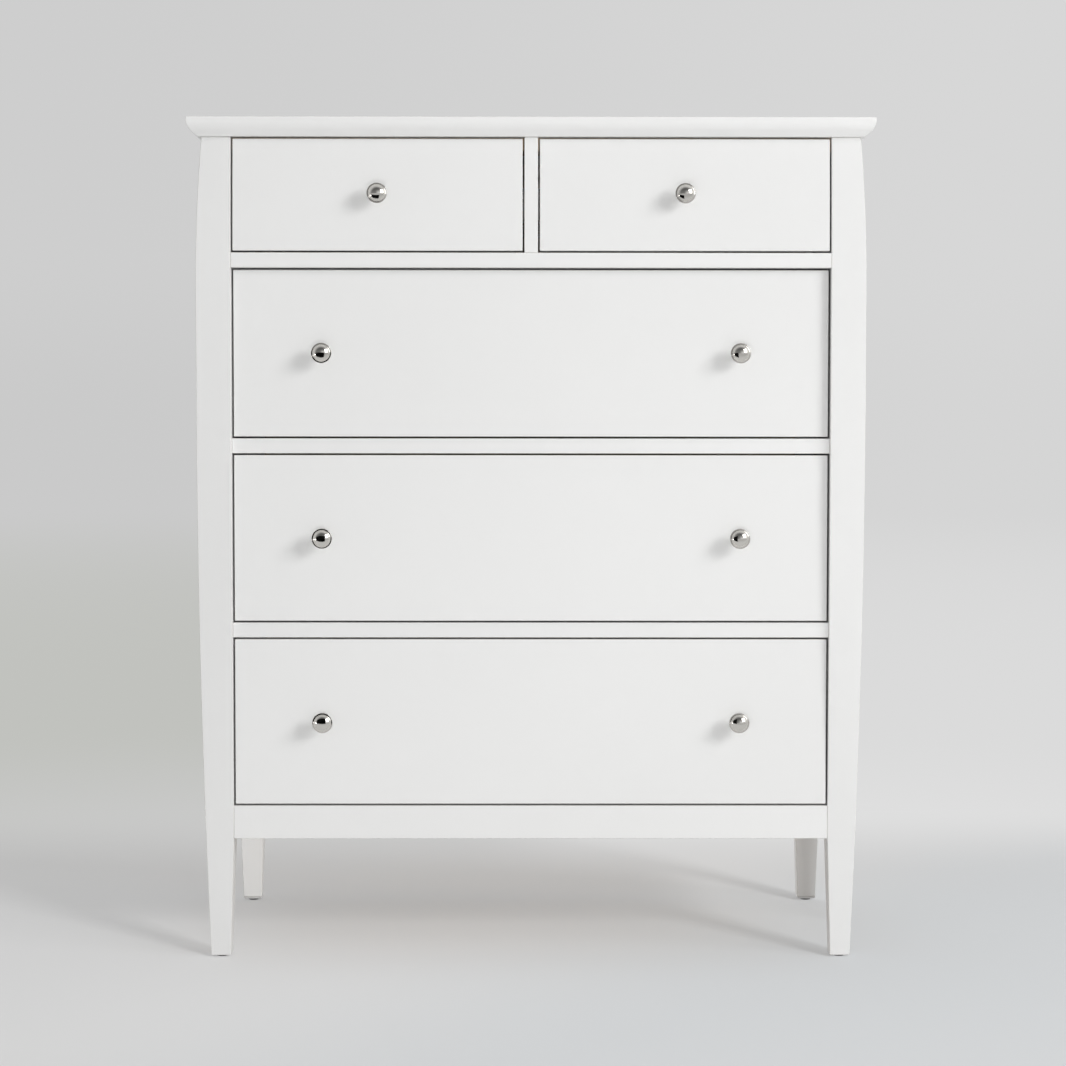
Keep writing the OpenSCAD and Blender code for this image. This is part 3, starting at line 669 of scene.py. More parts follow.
still = (0.0, 0.0)
for side, node in ((-1, "front_left_post"), (1, "front_right_post")):
    low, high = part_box(node)
    leg_taper = high.x - low.x - bow_at(foot_height) - foot_width
    inner = (side * leg_taper, 0.0)
    back = (0.0, -leg_taper)
    inner_back = (side * leg_taper, -leg_taper)
    if side < 0:
        moves = {"bow": [(1, 1), (0, 1), still, (1, 0)], "taper": [still, inner, inner_back, back]}
    else:
        moves = {"bow": [(0, 1), (-1, 1), (-1, 0), still], "taper": [inner, still, back, inner_back]}
    bowed_timber(node, low, high, moves, post_lacquer, post_ease)

bow_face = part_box("front_left_post")[0].y
front_moves = {"bow": [(0, 1), (0, 1), still, still], "taper": [still] * 4}
for node in ("upper_rail", "centre_stile", "top_left_drawer_front", "top_right_drawer_front"):
    low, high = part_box(node)
    if node == "upper_rail":
        low.x, high.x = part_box("front_left_post")[1].x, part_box("front_right_post")[0].x
    low.y = bow_face
    piece = bowed_timber(node, low, high, front_moves, front_lacquer, front_ease)
    if node.endswith("drawer_front"):
        light_drawer_front(piece)


# ---- Flat fronts, rails, apron, panels and rear posts ----
# Straight lacquered boards. Each is sanded at its edges before it is sprayed, and joined to the posts with
# tenons or tongues that don't show.
flat_ease = {"rail": 0.0008, "panel": 0.0006, "post": post_ease, "apron": front_ease, "front": front_ease}
flat_turn = math.radians(0.2)


def board_copy(node, name, *materials):
    """A copy of a CAD board with its triangles joined into whole faces."""
    shape = open_mesh(frame["nodes"][node].data)
    bmesh.ops.remove_doubles(shape, verts=shape.verts, dist=0.00002)
    bmesh.ops.dissolve_limit(shape, angle_limit=flat_turn, verts=shape.verts, edges=shape.edges)
    return new_object(name, close_mesh(shape, bpy.data.meshes.new(name)), *materials)


for node in ("middle_rail", "lower_rail", "apron", "rear_left_post", "rear_right_post", "left_side_panel",
             "right_side_panel", "second_drawer_front", "third_drawer_front", "bottom_drawer_front"):
    kind = node.split("_")[-1]
    coat = post_lacquer if kind == "post" else front_lacquer
    board = board_copy(node, f"{node}_sanded", coat, eased_lacquer)
    if node == "rear_left_post":
        lights_only(leg_lamp, board)
    if kind == "front":
        light_drawer_front(board)
    ease_edges(board, flat_ease[kind])
    stand_for(board, node)


# ---- Knobs ----
# Turned brass, polished and nickel plated: a foot plate, a neck, a thin rim and a low dome that stands in a
# hollow ring. Each is bolted from inside the drawer and stands square to the face it sits on.
knob_turns = 96
turned_edge = math.radians(50.0)


def arc_points(centre, radius, start, end, steps):
    """Points of an arc from one angle to another, in degrees."""
    angles = [math.radians(start + (end - start) * step / steps) for step in range(steps + 1)]
    return [(centre[0] + radius * math.cos(a), centre[1] + radius * math.sin(a)) for a in angles]


def turned(shape, outline, turns, place):
    """Adds a closed turned solid to a mesh. The outline runs from the axis below to the axis above."""
    rings = []
    for radius, height in outline:
        angles = [math.tau * step / turns for step in range(turns if radius > 1e-6 else 1)]
        rings.append([shape.verts.new(place @ Vector((radius * math.cos(a), radius * math.sin(a), height)))
                      for a in angles])
    for lower, upper in zip(rings, rings[1:]):
        for i in range(turns):
            ends = [lower[i % len(lower)], lower[(i + 1) % turns % len(lower)],
                    upper[(i + 1) % turns % len(upper)], upper[i % len(upper)]]
            shape.faces.new(list(dict.fromkeys(ends)))


def knob_outline():
    """Half of the knob's section, from the middle of its foot plate to the top of its dome."""
    foot_radius = 0.0070
    foot_low = 0.0005
    foot_high = 0.0011
    foot_edge = 0.0004
    foot_chamfer = 0.0003
    neck_radius = 0.0050
    neck_foot = 0.0037
    neck_hollow = 0.0016
    flare = 0.0045
    flare_drop = 0.0061
    rim_radius = 0.01425
    rim_foot = 0.0155
    rim_top = rim_foot + 0.0019
    rim_edge = 0.0007
    rim_low = 0.0006
    ring_radius = 0.0131
    cove_turn = math.radians(84.0)
    cove_steps = 12
    dome_radius = 0.0107
    dome_rise = 0.0044
    length = 0.025
    dome_foot = length - dome_rise
    dome_curve = (dome_radius ** 2 + dome_rise ** 2) / (2 * dome_rise)
    dome_angle = math.degrees(math.asin(dome_radius / dome_curve))
    outline = [(0.0, 0.0), (foot_radius - foot_chamfer, 0.0)]
    outline += arc_points((foot_radius - foot_edge, foot_low), foot_edge, -60, 0, 3)
    outline += arc_points((foot_radius - foot_edge, foot_high), foot_edge, 0, 90, 4)
    outline += arc_points((neck_radius + neck_hollow, neck_foot), neck_hollow, 230, 180, 6)
    outline += arc_points((neck_radius + flare, rim_foot - flare_drop), flare, 180, 112, 10)
    outline += arc_points((rim_radius - rim_edge, rim_foot + rim_low), rim_edge, -80, 0, 6)
    outline += arc_points((rim_radius - rim_edge, rim_top - rim_edge), rim_edge, 0, 86, 8)
    cove_width = ring_radius - dome_radius
    cove_rise = dome_foot - rim_top
    for step in range(cove_steps + 1):
        angle = cove_turn * step / cove_steps
        outline.append((ring_radius - cove_width * math.sin(angle), dome_foot - cove_rise * math.cos(angle)))
    outline += arc_points((0.0, length - dome_curve), dome_curve, 90 - dome_angle, 90, 20)
    return [(0.0 if radius < 1e-6 else radius, height) for radius, height in outline]


def handled_metal_group():
    """Metal that is handled now and then: faint smudges in its gloss, fine polishing marks in its height."""
    group, given = film_group("handled metal", "Colour", "Gloss", "Smudges", "Spread", "Tarnish")
    place = object_place(group)

    def marks(share, detail):
        """Noise at a share of the metal's own spread."""
        return noise(group, place, add_math(group, "MULTIPLY", given["Spread"], share), detail)

    smudged = smooth_range(group, marks(1.0, detail=3.0), 0.42, 0.7)
    dulled = smooth_range(group, marks(0.6, detail=2.0), 0.35, 0.7)
    rough = add_math(group, "MULTIPLY", smudged, given["Smudges"])
    dulled = add_math(group, "MULTIPLY", dulled, given["Tarnish"])
    add_node(group, "NodeGroupOutput", {
        "Colour": dimmed(group, given["Colour"], dulled),
        "Roughness": add_math(group, "ADD", given["Gloss"], rough),
        "Height": marks(30.0, detail=1.0)})
    return group


handled_metal = handled_metal_group()


def metal(name, colour, gloss, smudges, spread, tarnish, bump_height):
    """A bare or plated metal with the handled look."""
    return film_material(name, handled_metal, bump_strength=0.3, bump_height=bump_height, metallic=1.0,
                         Colour=colour, Gloss=gloss, Smudges=smudges, Spread=spread, Tarnish=tarnish)


nickel = metal("nickel_polished", (0.80, 0.78, 0.74, 1.0), gloss=0.07, smudges=0.06, spread=55.0,
               tarnish=0.06, bump_height=0.000004)


def loose_parts(node):
    """The corner points of each separate solid of a CAD node, in the same order at each run."""
    shape = open_mesh(frame["nodes"][node].data)
    bmesh.ops.remove_doubles(shape, verts=shape.verts, dist=0.00001)
    waiting = dict.fromkeys(shape.verts)
    parts = []
    while waiting:
        front = [waiting.popitem()[0]]
        part = []
        while front:
            vert = front.pop()
            part.append(vert.co.copy())
            for edge in vert.link_edges:
                near = edge.other_vert(vert)
                if near in waiting:
                    del waiting[near]
                    front.append(near)
        parts.append(part)
    shape.free()
    return sorted(parts, key=lambda part: tuple(round(v, 4) for v in sum(part, Vector()) / len(part)))


def span(points):
    """The lowest and highest corner of some points."""
    low = Vector([min(point[i] for point in points) for i in range(3)])
    high = Vector([max(point[i] for point in points) for i in range(3)])
    return low, high


def smooth_but_sharp(mesh, angle):
    """Smooth faces, with the edges that turn more than an angle kept sharp."""
    shape = open_mesh(mesh)
    for face in shape.faces:
        face.smooth = True
    for edge in shape.edges:
        edge.smooth = edge.is_manifold and edge.calc_face_angle() < angle
    return close_mesh(shape, mesh)


def turned_pieces(name, node, outlines, places, turns, material):
    """Turned solids in place of a CAD node."""
    shape = bmesh.new()
    for outline, place in zip(outlines, places):
        turned(shape, outline, turns, place)
    mesh = close_mesh(shape, bpy.data.meshes.new(name), outward=True)
    stand_for(new_object(name, smooth_but_sharp(mesh, turned_edge), material), node)


drawers = ("top_left", "top_right", "second", "third", "bottom")
for drawer in drawers:
    bowed = drawer.startswith("top")
    node = f"{drawer}_knob" if bowed else f"{drawer}_knobs"
    front_low, front_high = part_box(f"{drawer}_drawer_front")
    height = (front_low.z + front_high.z) / 2
    face_y = bow_face + bow_at(height) if bowed else front_low.y
    lean = math.asin((height - bow["Upper start"]) / bow["Upper radius"]) if bowed else 0.0
    square = Matrix.Rotation(math.pi / 2 - lean, 4, "X")
    spans = [span(part) for part in loose_parts(node)]
    places = [Matrix.Translation(((low.x + high.x) / 2, face_y, height)) @ square for low, high in spans]
    outlines = [knob_outline()] * len(places)
    turned_pieces(f"{node}_turned", node, outlines, places, knob_turns, nickel)


# ---- Foot glides ----
# Black moulded nylon discs, each on a pin that is driven into the foot. Their lower edge is rounded, so that
# the chest slides over a rug.
glide_turns = 48


def glide_outline(low, high):
    """Half of a glide's section, from the middle of its sole to the end of its pin."""
    radius = (high.x - low.x) / 2
    disc = 0.0025
    hollow = 0.0012
    lower_edge = 0.0009
    upper_edge = 0.0003
    pin_radius = 0.0015
    pin_point = 0.001
    outline = [(0.0, 0.0), (radius - lower_edge - hollow, 0.0)]
    outline += arc_points((radius - lower_edge, lower_edge), lower_edge, -90, 0, 6)
    outline += arc_points((radius - upper_edge, disc - upper_edge), upper_edge, 0, 90, 3)
    outline += [(pin_radius, disc), (pin_radius, high.z - pin_point)]
    return outline + [(pin_radius * 0.4, high.z), (0.0, high.z)]


def moulded_plastic(name, colour):
    """Moulded plastic with a fine spark-eroded texture and a few dull patches."""
    material = new_material(name)
    tree = material.node_tree
    place = object_place(tree)
    patches = noise(tree, place, scale=120.0)
    dusty = tuple(min(1.0, channel * 2.2 + 0.01) for channel in colour[:3]) + (1.0,)
    look = {"Colour": mix_colour(tree, smooth_range(tree, patches, 0.45, 0.75), colour, dusty),
            "Roughness": smooth_range(tree, patches, 0.3, 0.7, 0.42, 0.6),
            "Height": noise(tree, place, scale=2600.0)}
    finish_surface(tree, look, bump_strength=0.4, bump_height=0.00003)
    return material


black_nylon = moulded_plastic("black_nylon", (0.012, 0.012, 0.012, 1.0))
spans = [span(part) for part in loose_parts("foot_glides")]
places = [Matrix.Translation(((low.x + high.x) / 2, (low.y + high.y) / 2, 0.0)) for low, high in spans]
turned_pieces("foot_glides_moulded", "foot_glides", [glide_outline(*ends) for ends in spans], places,
              glide_turns, black_nylon)


# ---- Inner boards: divider, stretchers, runner blocks, bottom and back ----
# Planed birch where nobody looks, left bare. The bottom is birch plywood held in grooves. The back is a sheet
# of the same, screwed into the rabbets of the rear posts.
planed_ease = 0.0005
planed_shortest = 0.03
quarter = math.pi / 2
birch_light = (0.74, 0.575, 0.395, 1.0)
birch_dark = (0.60, 0.425, 0.26, 1.0)
end_light = (0.60, 0.43, 0.27, 1.0)
end_dark = (0.45, 0.30, 0.17, 1.0)
ply_light = (0.72, 0.55, 0.37, 1.0)
ply_dark = (0.58, 0.40, 0.24, 1.0)


def wood_grain_group():
    """Grain along X, or along the axis that a turn brings X to: broad bands, fine lines and short flecks."""
    group, given = film_group("wood grain", "Turn", "Light", "Dark", "Figure", "Bands", "Flecks")
    fed = {"Vector": object_place(group), "Rotation": given["Turn"]}
    place = add_node(group, "ShaderNodeMapping", fed, vector_type="POINT").outputs[0]

    def drawn_out(along, across, detail, distortion=0.0):
        """Noise that is drawn out along the grain."""
        fed = {"Vector": place, "Scale": (along, across, across)}
        squeezed = add_node(group, "ShaderNodeMapping", fed, vector_type="POINT").outputs[0]
        return noise(group, squeezed, 1.0, detail, distortion)

    rise = add_math(group, "MULTIPLY", drawn_out(0.9, 7.0, 2.0, 0.4), given["Bands"])
    rings = add_math(group, "ABSOLUTE", add_math(group, "SUBTRACT", add_math(group, "FRACT", rise), 0.5))
    rings = add_math(group, "MULTIPLY", smooth_range(group, rings, 0.05, 0.5), 0.55)
    lines = smooth_range(group, drawn_out(14.0, 900.0, 2.0), 0.4, 0.66)
    flecks = smooth_range(group, drawn_out(120.0, 1400.0, 1.0), 0.62, 0.75)
    flecks = add_math(group, "MULTIPLY", flecks, given["Flecks"])
    tone = add_math(group, "ADD", rings, add_math(group, "MULTIPLY", lines, 0.3))
    tone = add_math(group, "ADD", add_math(group, "MULTIPLY", tone, given["Figure"]), flecks)
    tone = add_math(group, "MINIMUM", tone, 1.0)
    add_node(group, "NodeGroupOutput", {
        "Colour": mix_colour(group, tone, given["Light"], given["Dark"]),
        "Roughness": smooth_range(group, lines, 0.0, 1.0, 0.52, 0.64),
        "Height": add_math(group, "SUBTRACT", 1.0, tone)})
    return group


wood_grain = wood_grain_group()


def bare_wood(name, light, dark, figure, bands, flecks, turn=(0.0, 0.0, 0.0)):
    """Bare wood, with its grain turned as given."""
    return film_material(name, wood_grain, bump_strength=0.5, bump_height=0.00012, Turn=turn, Light=light,
                         Dark=dark, Figure=figure, Bands=bands, Flecks=flecks)


birch_along_x = bare_wood("birch_along_x", birch_light, birch_dark, 0.6, 6.0, 0.25)
birch_along_y = bare_wood("birch_along_y", birch_light, birch_dark, 0.6, 6.0, 0.25, (0.0, 0.0, quarter))
birch_end = bare_wood("birch_end_grain", end_light, end_dark, 0.9, 14.0, 0.5, (0.0, quarter, 0.0))
ply_along_x = bare_wood("plywood_along_x", ply_light, ply_dark, 0.75, 5.0, 0.15)
for node, material in (("centre_divider", birch_along_y), ("stretchers", birch_along_x),
                       ("runner_blocks", birch_along_y), ("bottom_panel", ply_along_x),
                       ("back_panel", ply_along_x)):
    board = board_copy(node, f"{node}_planed", material)
    ease_edges(board, planed_ease, planed_shortest, edge_material=-1)
    stand_for(board, node)


# ---- Drawer boxes ----
# Birch boards dovetailed at the corners: the sides carry the tails, the front and back boards the pins. A
# plywood bottom slides into a groove all round. The drawer front is screwed on from inside the box.
pin_shape = {"Width": 0.0085, "Taper": 0.5}
pin_pitch = 0.0240
first_pin = 0.0260
last_pin = 0.0130
pin_gap = 0.00008
pin_past = 0.0005
box_ease = 0.0012
box_shortest = 0.06
sheet_ease = 0.0004


def row_of(tree, given, instance, step, start=(0.0, 0.0, 0.0)):
    """A row of copies, as many as the tree is given."""
    fed = {"Count": given["Count"], "Start Location": start, "Offset": step}
    points = geometry(tree, "MeshLine", fed, mode="OFFSET")
    return geometry(tree, "InstanceOnPoints", {"Points": points, "Instance": instance})


def dovetail_tree():
    """A row of tapered pins that rises from each point. The point says how far they are turned about Z."""
    labels = [*pin_shape, "Thickness", "Reach", "Pitch", "Count", "Play"]
    tree, given = new_geometry_tree("dovetail pins", labels)
    twice = add_math(tree, "MULTIPLY", given["Play"], 2.0)
    size = [add_math(tree, "ADD", given[label], twice) for label in ("Reach", "Thickness", "Width")]
    blank = geometry(tree, "MeshCube", {"Size": vector(tree, *size)})
    spot = split_axes(tree, geometry(tree, "InputPosition", {}))
    slope = add_math(tree, "DIVIDE", given["Taper"], given["Thickness"])
    slope = add_math(tree, "MULTIPLY", spot["Y"], slope)
    widened = vector(tree, z=add_math(tree, "MULTIPLY", spot["Z"], slope))
    pin = geometry(tree, "SetPosition", {"Geometry": blank, "Offset": widened})
    pins = row_of(tree, given, pin, vector(tree, z=given["Pitch"]))
    turn = vector(tree, z=own_value(tree, "turn", "FLOAT"))
    fed = {"Points": given["Geometry"], "Instance": pins, "Rotation": turn}
    return finish_geometry_tree(tree, given, geometry(tree, "InstanceOnPoints", fed))


dovetails = dovetail_tree()


def points_piece(name, places, **values):
    """An object with a point at each place, and numbers or vectors that belong to the points."""
    mesh = bpy.data.meshes.new(name)
    mesh.from_pydata(places, [], [])
    for label, column in values.items():
        kind, field = ("FLOAT_VECTOR", "vector") if isinstance(column[0], Vector) else ("FLOAT", "value")
        attribute = mesh.attributes.new(label, kind, "POINT")
        for point, value in zip(attribute.data, column):
            setattr(point, field, value)
    return new_object(name, mesh)


def dovetail_pins(name, sides, ends, play, material):
    """The pins of a drawer box at all four corners, or with play, what is cut out of the sides for them."""
    low, high = span(sides[0] + sides[1])
    side_spans = [span(side) for side in sides]
    end_low, end_high = span(ends[0])
    thickness = side_spans[0][1].x - side_spans[0][0].x
    depth = end_high.y - end_low.y
    run = high.z - low.z - first_pin - last_pin
    count = math.floor(run / pin_pitch) + 1
    places = []
    turns = []
    for side_low, side_high in side_spans:
        inward = pin_past if side_low.x < (low.x + high.x) / 2 else -pin_past
        x = (side_low.x + side_high.x) / 2 + inward
        for y, turn in ((low.y + depth / 2, 0.0), (high.y - depth / 2, math.pi)):
            places.append((x, y, low.z + first_pin))
            turns.append(turn)
    sizes = {**pin_shape, "Thickness": depth, "Reach": thickness + 2 * pin_past, "Pitch": run / (count - 1),
             "Count": float(count), "Play": play}
    return run_geometry_tree(points_piece(name, places, turn=turns), dovetails, sizes, material)


def join_or_cut(piece, tool, operation):
    """Adds a tool's solid to a piece or cuts it away, and throws the tool away."""
    modifier = piece.modifiers.new("joint", "BOOLEAN")
    modifier.operation = operation
    modifier.solver = "EXACT"
    modifier.object = tool
    keep_modified(piece, modifier)
    bpy.data.objects.remove(tool)
    shape = open_mesh(piece.data)
    bmesh.ops.remove_doubles(shape, verts=shape.verts, dist=0.00001)
    bmesh.ops.dissolve_degenerate(shape, dist=0.00001, edges=shape.edges)
    close_mesh(shape, piece.data)


def show_end_grain(mesh, axis, places):
    """Gives the faces that look along an axis, at some places on it, the second of the mesh's materials."""
    for face in mesh.polygons:
        at_end = any(abs(face.center[axis] - place) < 0.0004 for place in places)
        if abs(face.normal[axis]) > 0.9 and at_end:
            face.material_index = 1


for drawer in drawers:
    sides = loose_parts(f"{drawer}_drawer_sides")
    ends = loose_parts(f"{drawer}_drawer_ends")
    low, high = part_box(f"{drawer}_drawer_sides")
    for kind, material, tool, play, operation, axis in (
            ("sides", birch_along_y, "sockets", pin_gap, "DIFFERENCE", 1),
            ("ends", birch_along_x, "pins", 0.0, "UNION", 0)):
        node = f"{drawer}_drawer_{kind}"
        boards = board_copy(node, f"{node}_dovetailed", material, birch_end)
        join_or_cut(boards, dovetail_pins(f"{drawer}_{tool}", sides, ends, play, material), operation)
        show_end_grain(boards.data, axis, (low[axis], high[axis]))
        ease_edges(boards, box_ease, box_shortest, edge_material=-1)
        stand_for(boards, node)
    node = f"{drawer}_drawer_bottom"
    bottom_sheet = board_copy(node, f"{node}_sheet", ply_along_x)
    ease_edges(bottom_sheet, sheet_ease, planed_shortest, edge_material=-1)
    stand_for(bottom_sheet, node)


# ---- Screws and bolts ----
# Zinc plated pan-head wood screws with a cross recess hold the case, the runners and the drawer fronts.
# Machine bolts of the same make hold the knobs from inside the drawers.
screw = {"Head width": 0.0075, "Head height": 0.0014, "Shank width": 0.0035}
bolt = {"Head width": 0.0080, "Head height": 0.0025, "Shank width": 0.0040}
recess_share = 0.62
recess_width = 0.0009
head_ease = 0.0003
head_corners = 24
shank_corners = 12
pressed_edge = math.radians(35.0)
rounded_turn = math.radians(50.0)


def screw_tree():
    """A screw at each point: its axis runs into the wood, and its reach is the length under the head."""
    labels = [*screw, "Recess length", "Recess width", "Recess depth"]
    tree, given = new_geometry_tree("cross-head screws", labels)

    def cylinder(corners, width, depth, lift):
        """A round bar along Z, lifted by an amount."""
        radius = add_math(tree, "MULTIPLY", width, 0.5)
        bar = geometry(tree, "MeshCylinder", {"Vertices": corners, "Radius": radius, "Depth": depth})
        return geometry(tree, "Transform", {"Geometry": bar, "Translation": vector(tree, z=lift)})

    half_head = add_math(tree, "MULTIPLY", given["Head height"], -0.5)
    head = cylinder(head_corners, given["Head width"], given["Head height"], half_head)
    top = vector(tree, z=add_math(tree, "MULTIPLY", given["Head height"], -1.0))
    deep = add_math(tree, "MULTIPLY", given["Recess depth"], 2.0)
    bars = []
    for x, y in (("Recess length", "Recess width"), ("Recess width", "Recess length")):
        bar = geometry(tree, "MeshCube", {"Size": vector(tree, given[x], given[y], deep)})
        bars.append(geometry(tree, "Transform", {"Geometry": bar, "Translation": top}))
    head = geometry(tree, "MeshBoolean", {"Mesh 1": head, "Mesh 2": bars}, operation="DIFFERENCE",
                    solver="EXACT")
    shank = cylinder(shank_corners, given["Shank width"], 1.0, 0.5)
    fed = {"Vector": own_value(tree, "axis", "FLOAT_VECTOR")}
    aimed = add_node(tree, "FunctionNodeAlignRotationToVector", fed, axis="Z").outputs[0]
    placed = {"Points": given["Geometry"], "Rotation": aimed}
    stretch = vector(tree, 1.0, 1.0, own_value(tree, "reach", "FLOAT"))
    heads = geometry(tree, "InstanceOnPoints", {**placed, "Instance": head})
    shanks = geometry(tree, "InstanceOnPoints", {**placed, "Instance": shank, "Scale": stretch})
    return finish_geometry_tree(tree, given, geometry(tree, "JoinGeometry", {"Geometry": [heads, shanks]}))


cross_heads = screw_tree()
zinc = metal("zinc_plated", (0.60, 0.61, 0.62, 1.0), gloss=0.26, smudges=0.16, spread=30.0, tarnish=0.18,
             bump_height=0.00001)


def fastener_axis(points):
    """The middle of a fastener's head, its axis into the wood, its whole length and its head's width."""
    low, high = span(points)
    axis = max(range(3), key=lambda i: high[i] - low[i])
    ends = []
    for edge in (low[axis], high[axis]):
        ring = [point for point in points if abs(point[axis] - edge) < 0.0005]
        middle = sum(ring, Vector()) / len(ring)
        ends.append((max((point - middle).length for point in ring), middle))
    (_, tip), (head_radius, head) = sorted(ends, key=lambda end: end[0])
    return head, (tip - head).normalized(), (tip - head).length, 2 * head_radius


def cross_head_fasteners(node):
    """The screws and bolts of a CAD node, with their heads and shanks in the same places."""
    between = (screw["Head width"] + bolt["Head width"]) / 2
    fasteners = [fastener_axis(part) for part in loose_parts(node)]
    made = []
    for kind in (bolt, screw):
        found = [fastener[:3] for fastener in fasteners if (fastener[3] > between) == (kind is bolt)]
        if not found:
            continue
        head_height = kind["Head height"]
        piece = points_piece(node, [head + axis * head_height for head, axis, length in found],
                             axis=[axis for head, axis, length in found],
                             reach=[length - head_height for head, axis, length in found])
        sizes = {**kind, "Recess length": kind["Head width"] * recess_share, "Recess width": recess_width,
                 "Recess depth": head_height * recess_share}
        made.append(run_geometry_tree(piece, cross_heads, sizes, zinc))
    return made


def one_piece(name, parts, material):
    """Several pieces of one material joined into one."""
    shape = bmesh.new()
    for part in parts:
        shape.from_mesh(part.data)
        bpy.data.objects.remove(part)
    for face in shape.faces:
        face.material_index = 0
    mesh = close_mesh(shape, bpy.data.meshes.new(name))
    return new_object(name, smooth_but_sharp(mesh, pressed_edge), material)


for node in ("case_screws", *[f"{drawer}_drawer_screws" for drawer in drawers]):
    heads = one_piece(f"{node}_cross_head", cross_head_fasteners(node), zinc)
    rounded = heads.modifiers.new("rounded heads", "BEVEL")
    rounded.limit_method = "ANGLE"
    rounded.angle_limit = rounded_turn
    rounded.width = head_ease
    rounded.segments = 2
    stand_for(heads, node)


# ---- Runners ----
# Rolled zinc plated steel channels that nest in each other: one on the case, one between, one on the drawer.
# Steel balls in thin cages run between them. The webs are punched with slots.
sheet_steel = 0.0012
bend_radius = 0.0026
bend_steps = 6
slots = {"Slot width": 0.0050, "Slot length": 0.0110, "Pitch": 0.0340, "Count": 7.0, "Across": 2.0}
slot_corners = 20
first_slot = 0.0700
caged = {"Ball width": 0.0029, "Pitch": 0.0125, "Count": 12.0, "Cage thickness": 0.0005, "Cage width": 0.0020}


def slotted_tree():
    """Cuts a row of oval slots through whatever lies along X at a height."""
    tree, given = new_geometry_tree("punched slots", [*slots, "First slot", "Height"])
    fed = {"Vertices": slot_corners, "Radius": 0.5, "Depth": given["Across"]}
    punch = geometry(tree, "MeshCylinder", fed)
    oval = vector(tree, given["Slot width"], given["Slot length"], 1.0)
    punch = geometry(tree, "Transform", {"Geometry": punch, "Scale": oval})
    punch = geometry(tree, "Transform", {"Geometry": punch, "Rotation": (0.0, quarter, 0.0)})
    start = vector(tree, y=given["First slot"], z=given["Height"])
    punches = row_of(tree, given, punch, vector(tree, y=given["Pitch"]), start)
    punches = geometry(tree, "RealizeInstances", {"Geometry": punches})
    fed = {"Mesh 1": given["Geometry"], "Mesh 2": punches}
    cut = geometry(tree, "MeshBoolean", fed, operation="DIFFERENCE", solver="EXACT")
    return finish_geometry_tree(tree, given, cut)


def ball_tree():
    """A row of balls in a cage strip that runs back from each point."""
    tree, given = new_geometry_tree("caged balls", caged)
    radius = add_math(tree, "MULTIPLY", given["Ball width"], 0.5)
    ball = geometry(tree, "MeshIcoSphere", {"Subdivisions": 2, "Radius": radius})
    balls = row_of(tree, given, ball, vector(tree, y=given["Pitch"]))
    run = add_math(tree, "MULTIPLY", given["Count"], given["Pitch"])
    size = vector(tree, given["Cage thickness"], run, given["Cage width"])
    strip = geometry(tree, "MeshCube", {"Size": size})
    centre = add_math(tree, "MULTIPLY", add_math(tree, "SUBTRACT", run, given["Pitch"]), 0.5)
    strip = geometry(tree, "Transform", {"Geometry": strip, "Translation": vector(tree, y=centre)})
    both = geometry(tree, "JoinGeometry", {"Geometry": [balls, strip]})
    rows = geometry(tree, "InstanceOnPoints", {"Points": given["Geometry"], "Instance": both})
    return finish_geometry_tree(tree, given, rows)


punched_slots = slotted_tree()
caged_balls = ball_tree()


def channel_outline(low, high, opens):
    """Section of a rolled channel in X and Z. It fills a box and opens to the right, or to the left."""
    web = low.x if opens > 0 else high.x
    reach = high.x - low.x
    outline = []
    for inner, order in ((0.0, 1), (sheet_steel, -1)):
        radius = bend_radius - inner
        path = [(reach, high.z - inner)]
        path += arc_points((bend_radius, high.z - bend_radius), radius, 90, 180, bend_steps)
        path += arc_points((bend_radius, low.z + bend_radius), radius, 180, 270, bend_steps)
        path += [(reach, low.z + inner)]
        outline += path[::order]
    return [(web + opens * x, z) for x, z in outline]


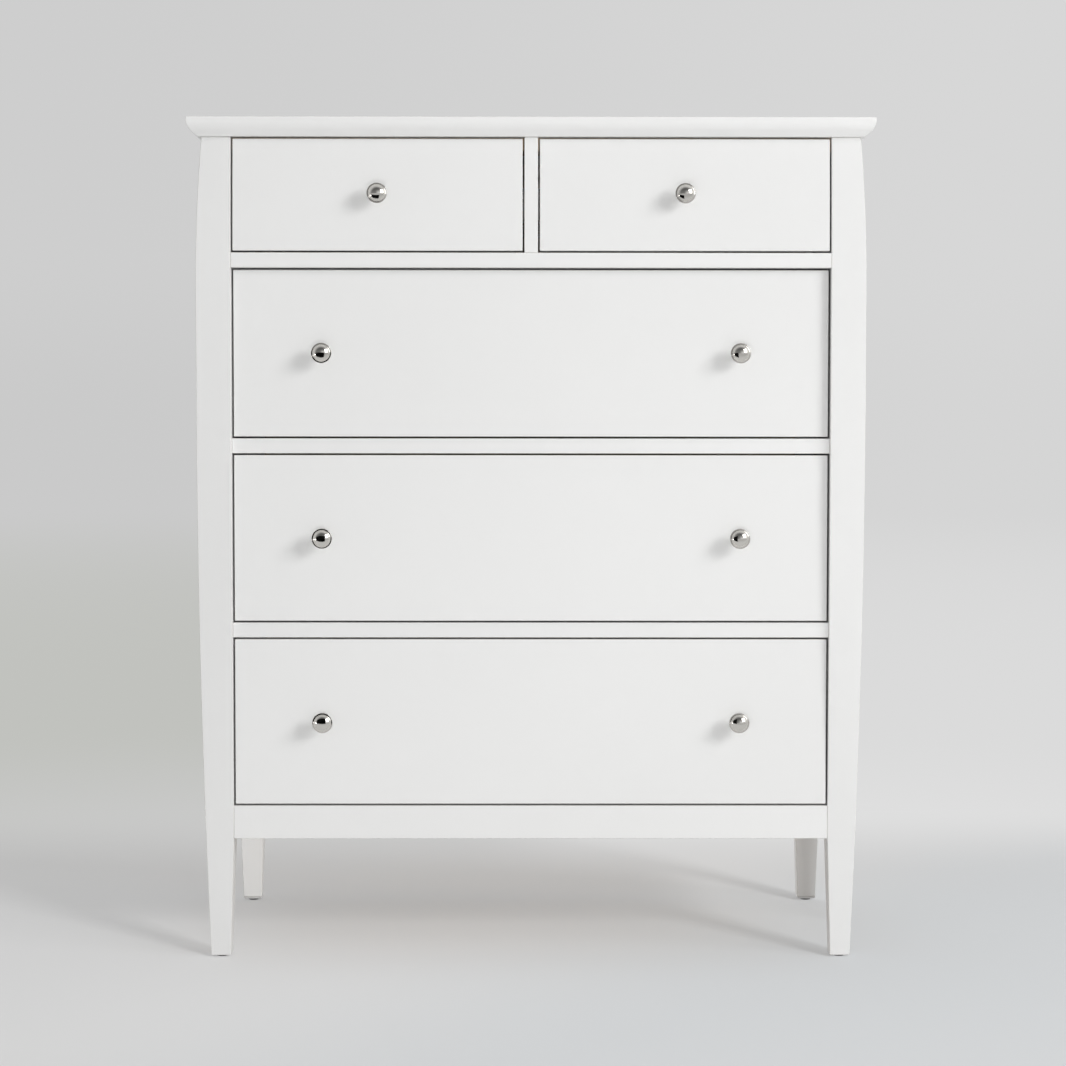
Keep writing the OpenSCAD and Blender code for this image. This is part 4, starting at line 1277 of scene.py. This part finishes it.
def runner_boxes(node, drawer):
    """The boxes of the channels of a CAD node that belong to a drawer, from left to right."""
    front_low, front_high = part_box(f"{drawer}_drawer_front")
    boxes = []
    for part in loose_parts(node):
        low, high = span(part)
        middle = (low + high) / 2
        if front_low.x < middle.x < front_high.x and front_low.z < middle.z < front_high.z:
            boxes.append((low, high))
    return sorted(boxes, key=lambda box: box[0].x)


def drawer_channels(node, drawer, opens):
    """The two channels of a node beside a drawer, rolled and punched. The left one opens as given."""
    shape = bmesh.new()
    boxes = runner_boxes(node, drawer)
    for (low, high), side in zip(boxes, (opens, -opens)):
        outline = channel_outline(low, high, side)
        add_bar(shape, [[shape.verts.new((x, y, z)) for x, z in outline] for y in (low.y, high.y)])
    mesh = close_mesh(shape, bpy.data.meshes.new(node), outward=True)
    low, high = boxes[0]
    sizes = {**slots, "First slot": low.y + first_slot, "Height": (low.z + high.z) / 2}
    return run_geometry_tree(new_object(node, mesh), punched_slots, sizes, zinc)


def rolled_runners(node, parts):
    """The finished channels of a node, in one piece, in place of the CAD ones."""
    stand_for(one_piece(f"{node}_rolled", parts, zinc), node)


rolled_runners("case_runners", [drawer_channels("case_runners", drawer, 1) for drawer in drawers])
for drawer in drawers:
    middle_node = f"{drawer}_middle_runners"
    inner_node = f"{drawer}_drawer_runners"
    rolled_runners(middle_node, [drawer_channels(middle_node, drawer, 1)])
    rolled_runners(inner_node, [drawer_channels(inner_node, drawer, -1)])
    boxes = [runner_boxes(node, drawer) for node in ("case_runners", middle_node, inner_node)]
    ball_run = caged["Pitch"] * (caged["Count"] - 1)
    starts = []
    for case_box, middle_box, inner_box in zip(*boxes):
        x = (max(middle_box[0].x, inner_box[0].x) + min(middle_box[1].x, inner_box[1].x)) / 2
        for outer, inner, y in ((case_box, middle_box, middle_box[1].y - ball_run - caged["Pitch"]),
                                (middle_box, inner_box, middle_box[0].y + caged["Pitch"])):
            starts.append((x, y, (outer[1].z - sheet_steel + inner[1].z) / 2))
            starts.append((x, y, (outer[0].z + sheet_steel + inner[0].z) / 2))
    balls = run_geometry_tree(points_piece(f"{drawer}_runner_balls", starts), caged_balls, caged, zinc)
    smooth_but_sharp(balls.data, turned_edge)
    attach(balls, frame["nodes"][middle_node]["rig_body"])
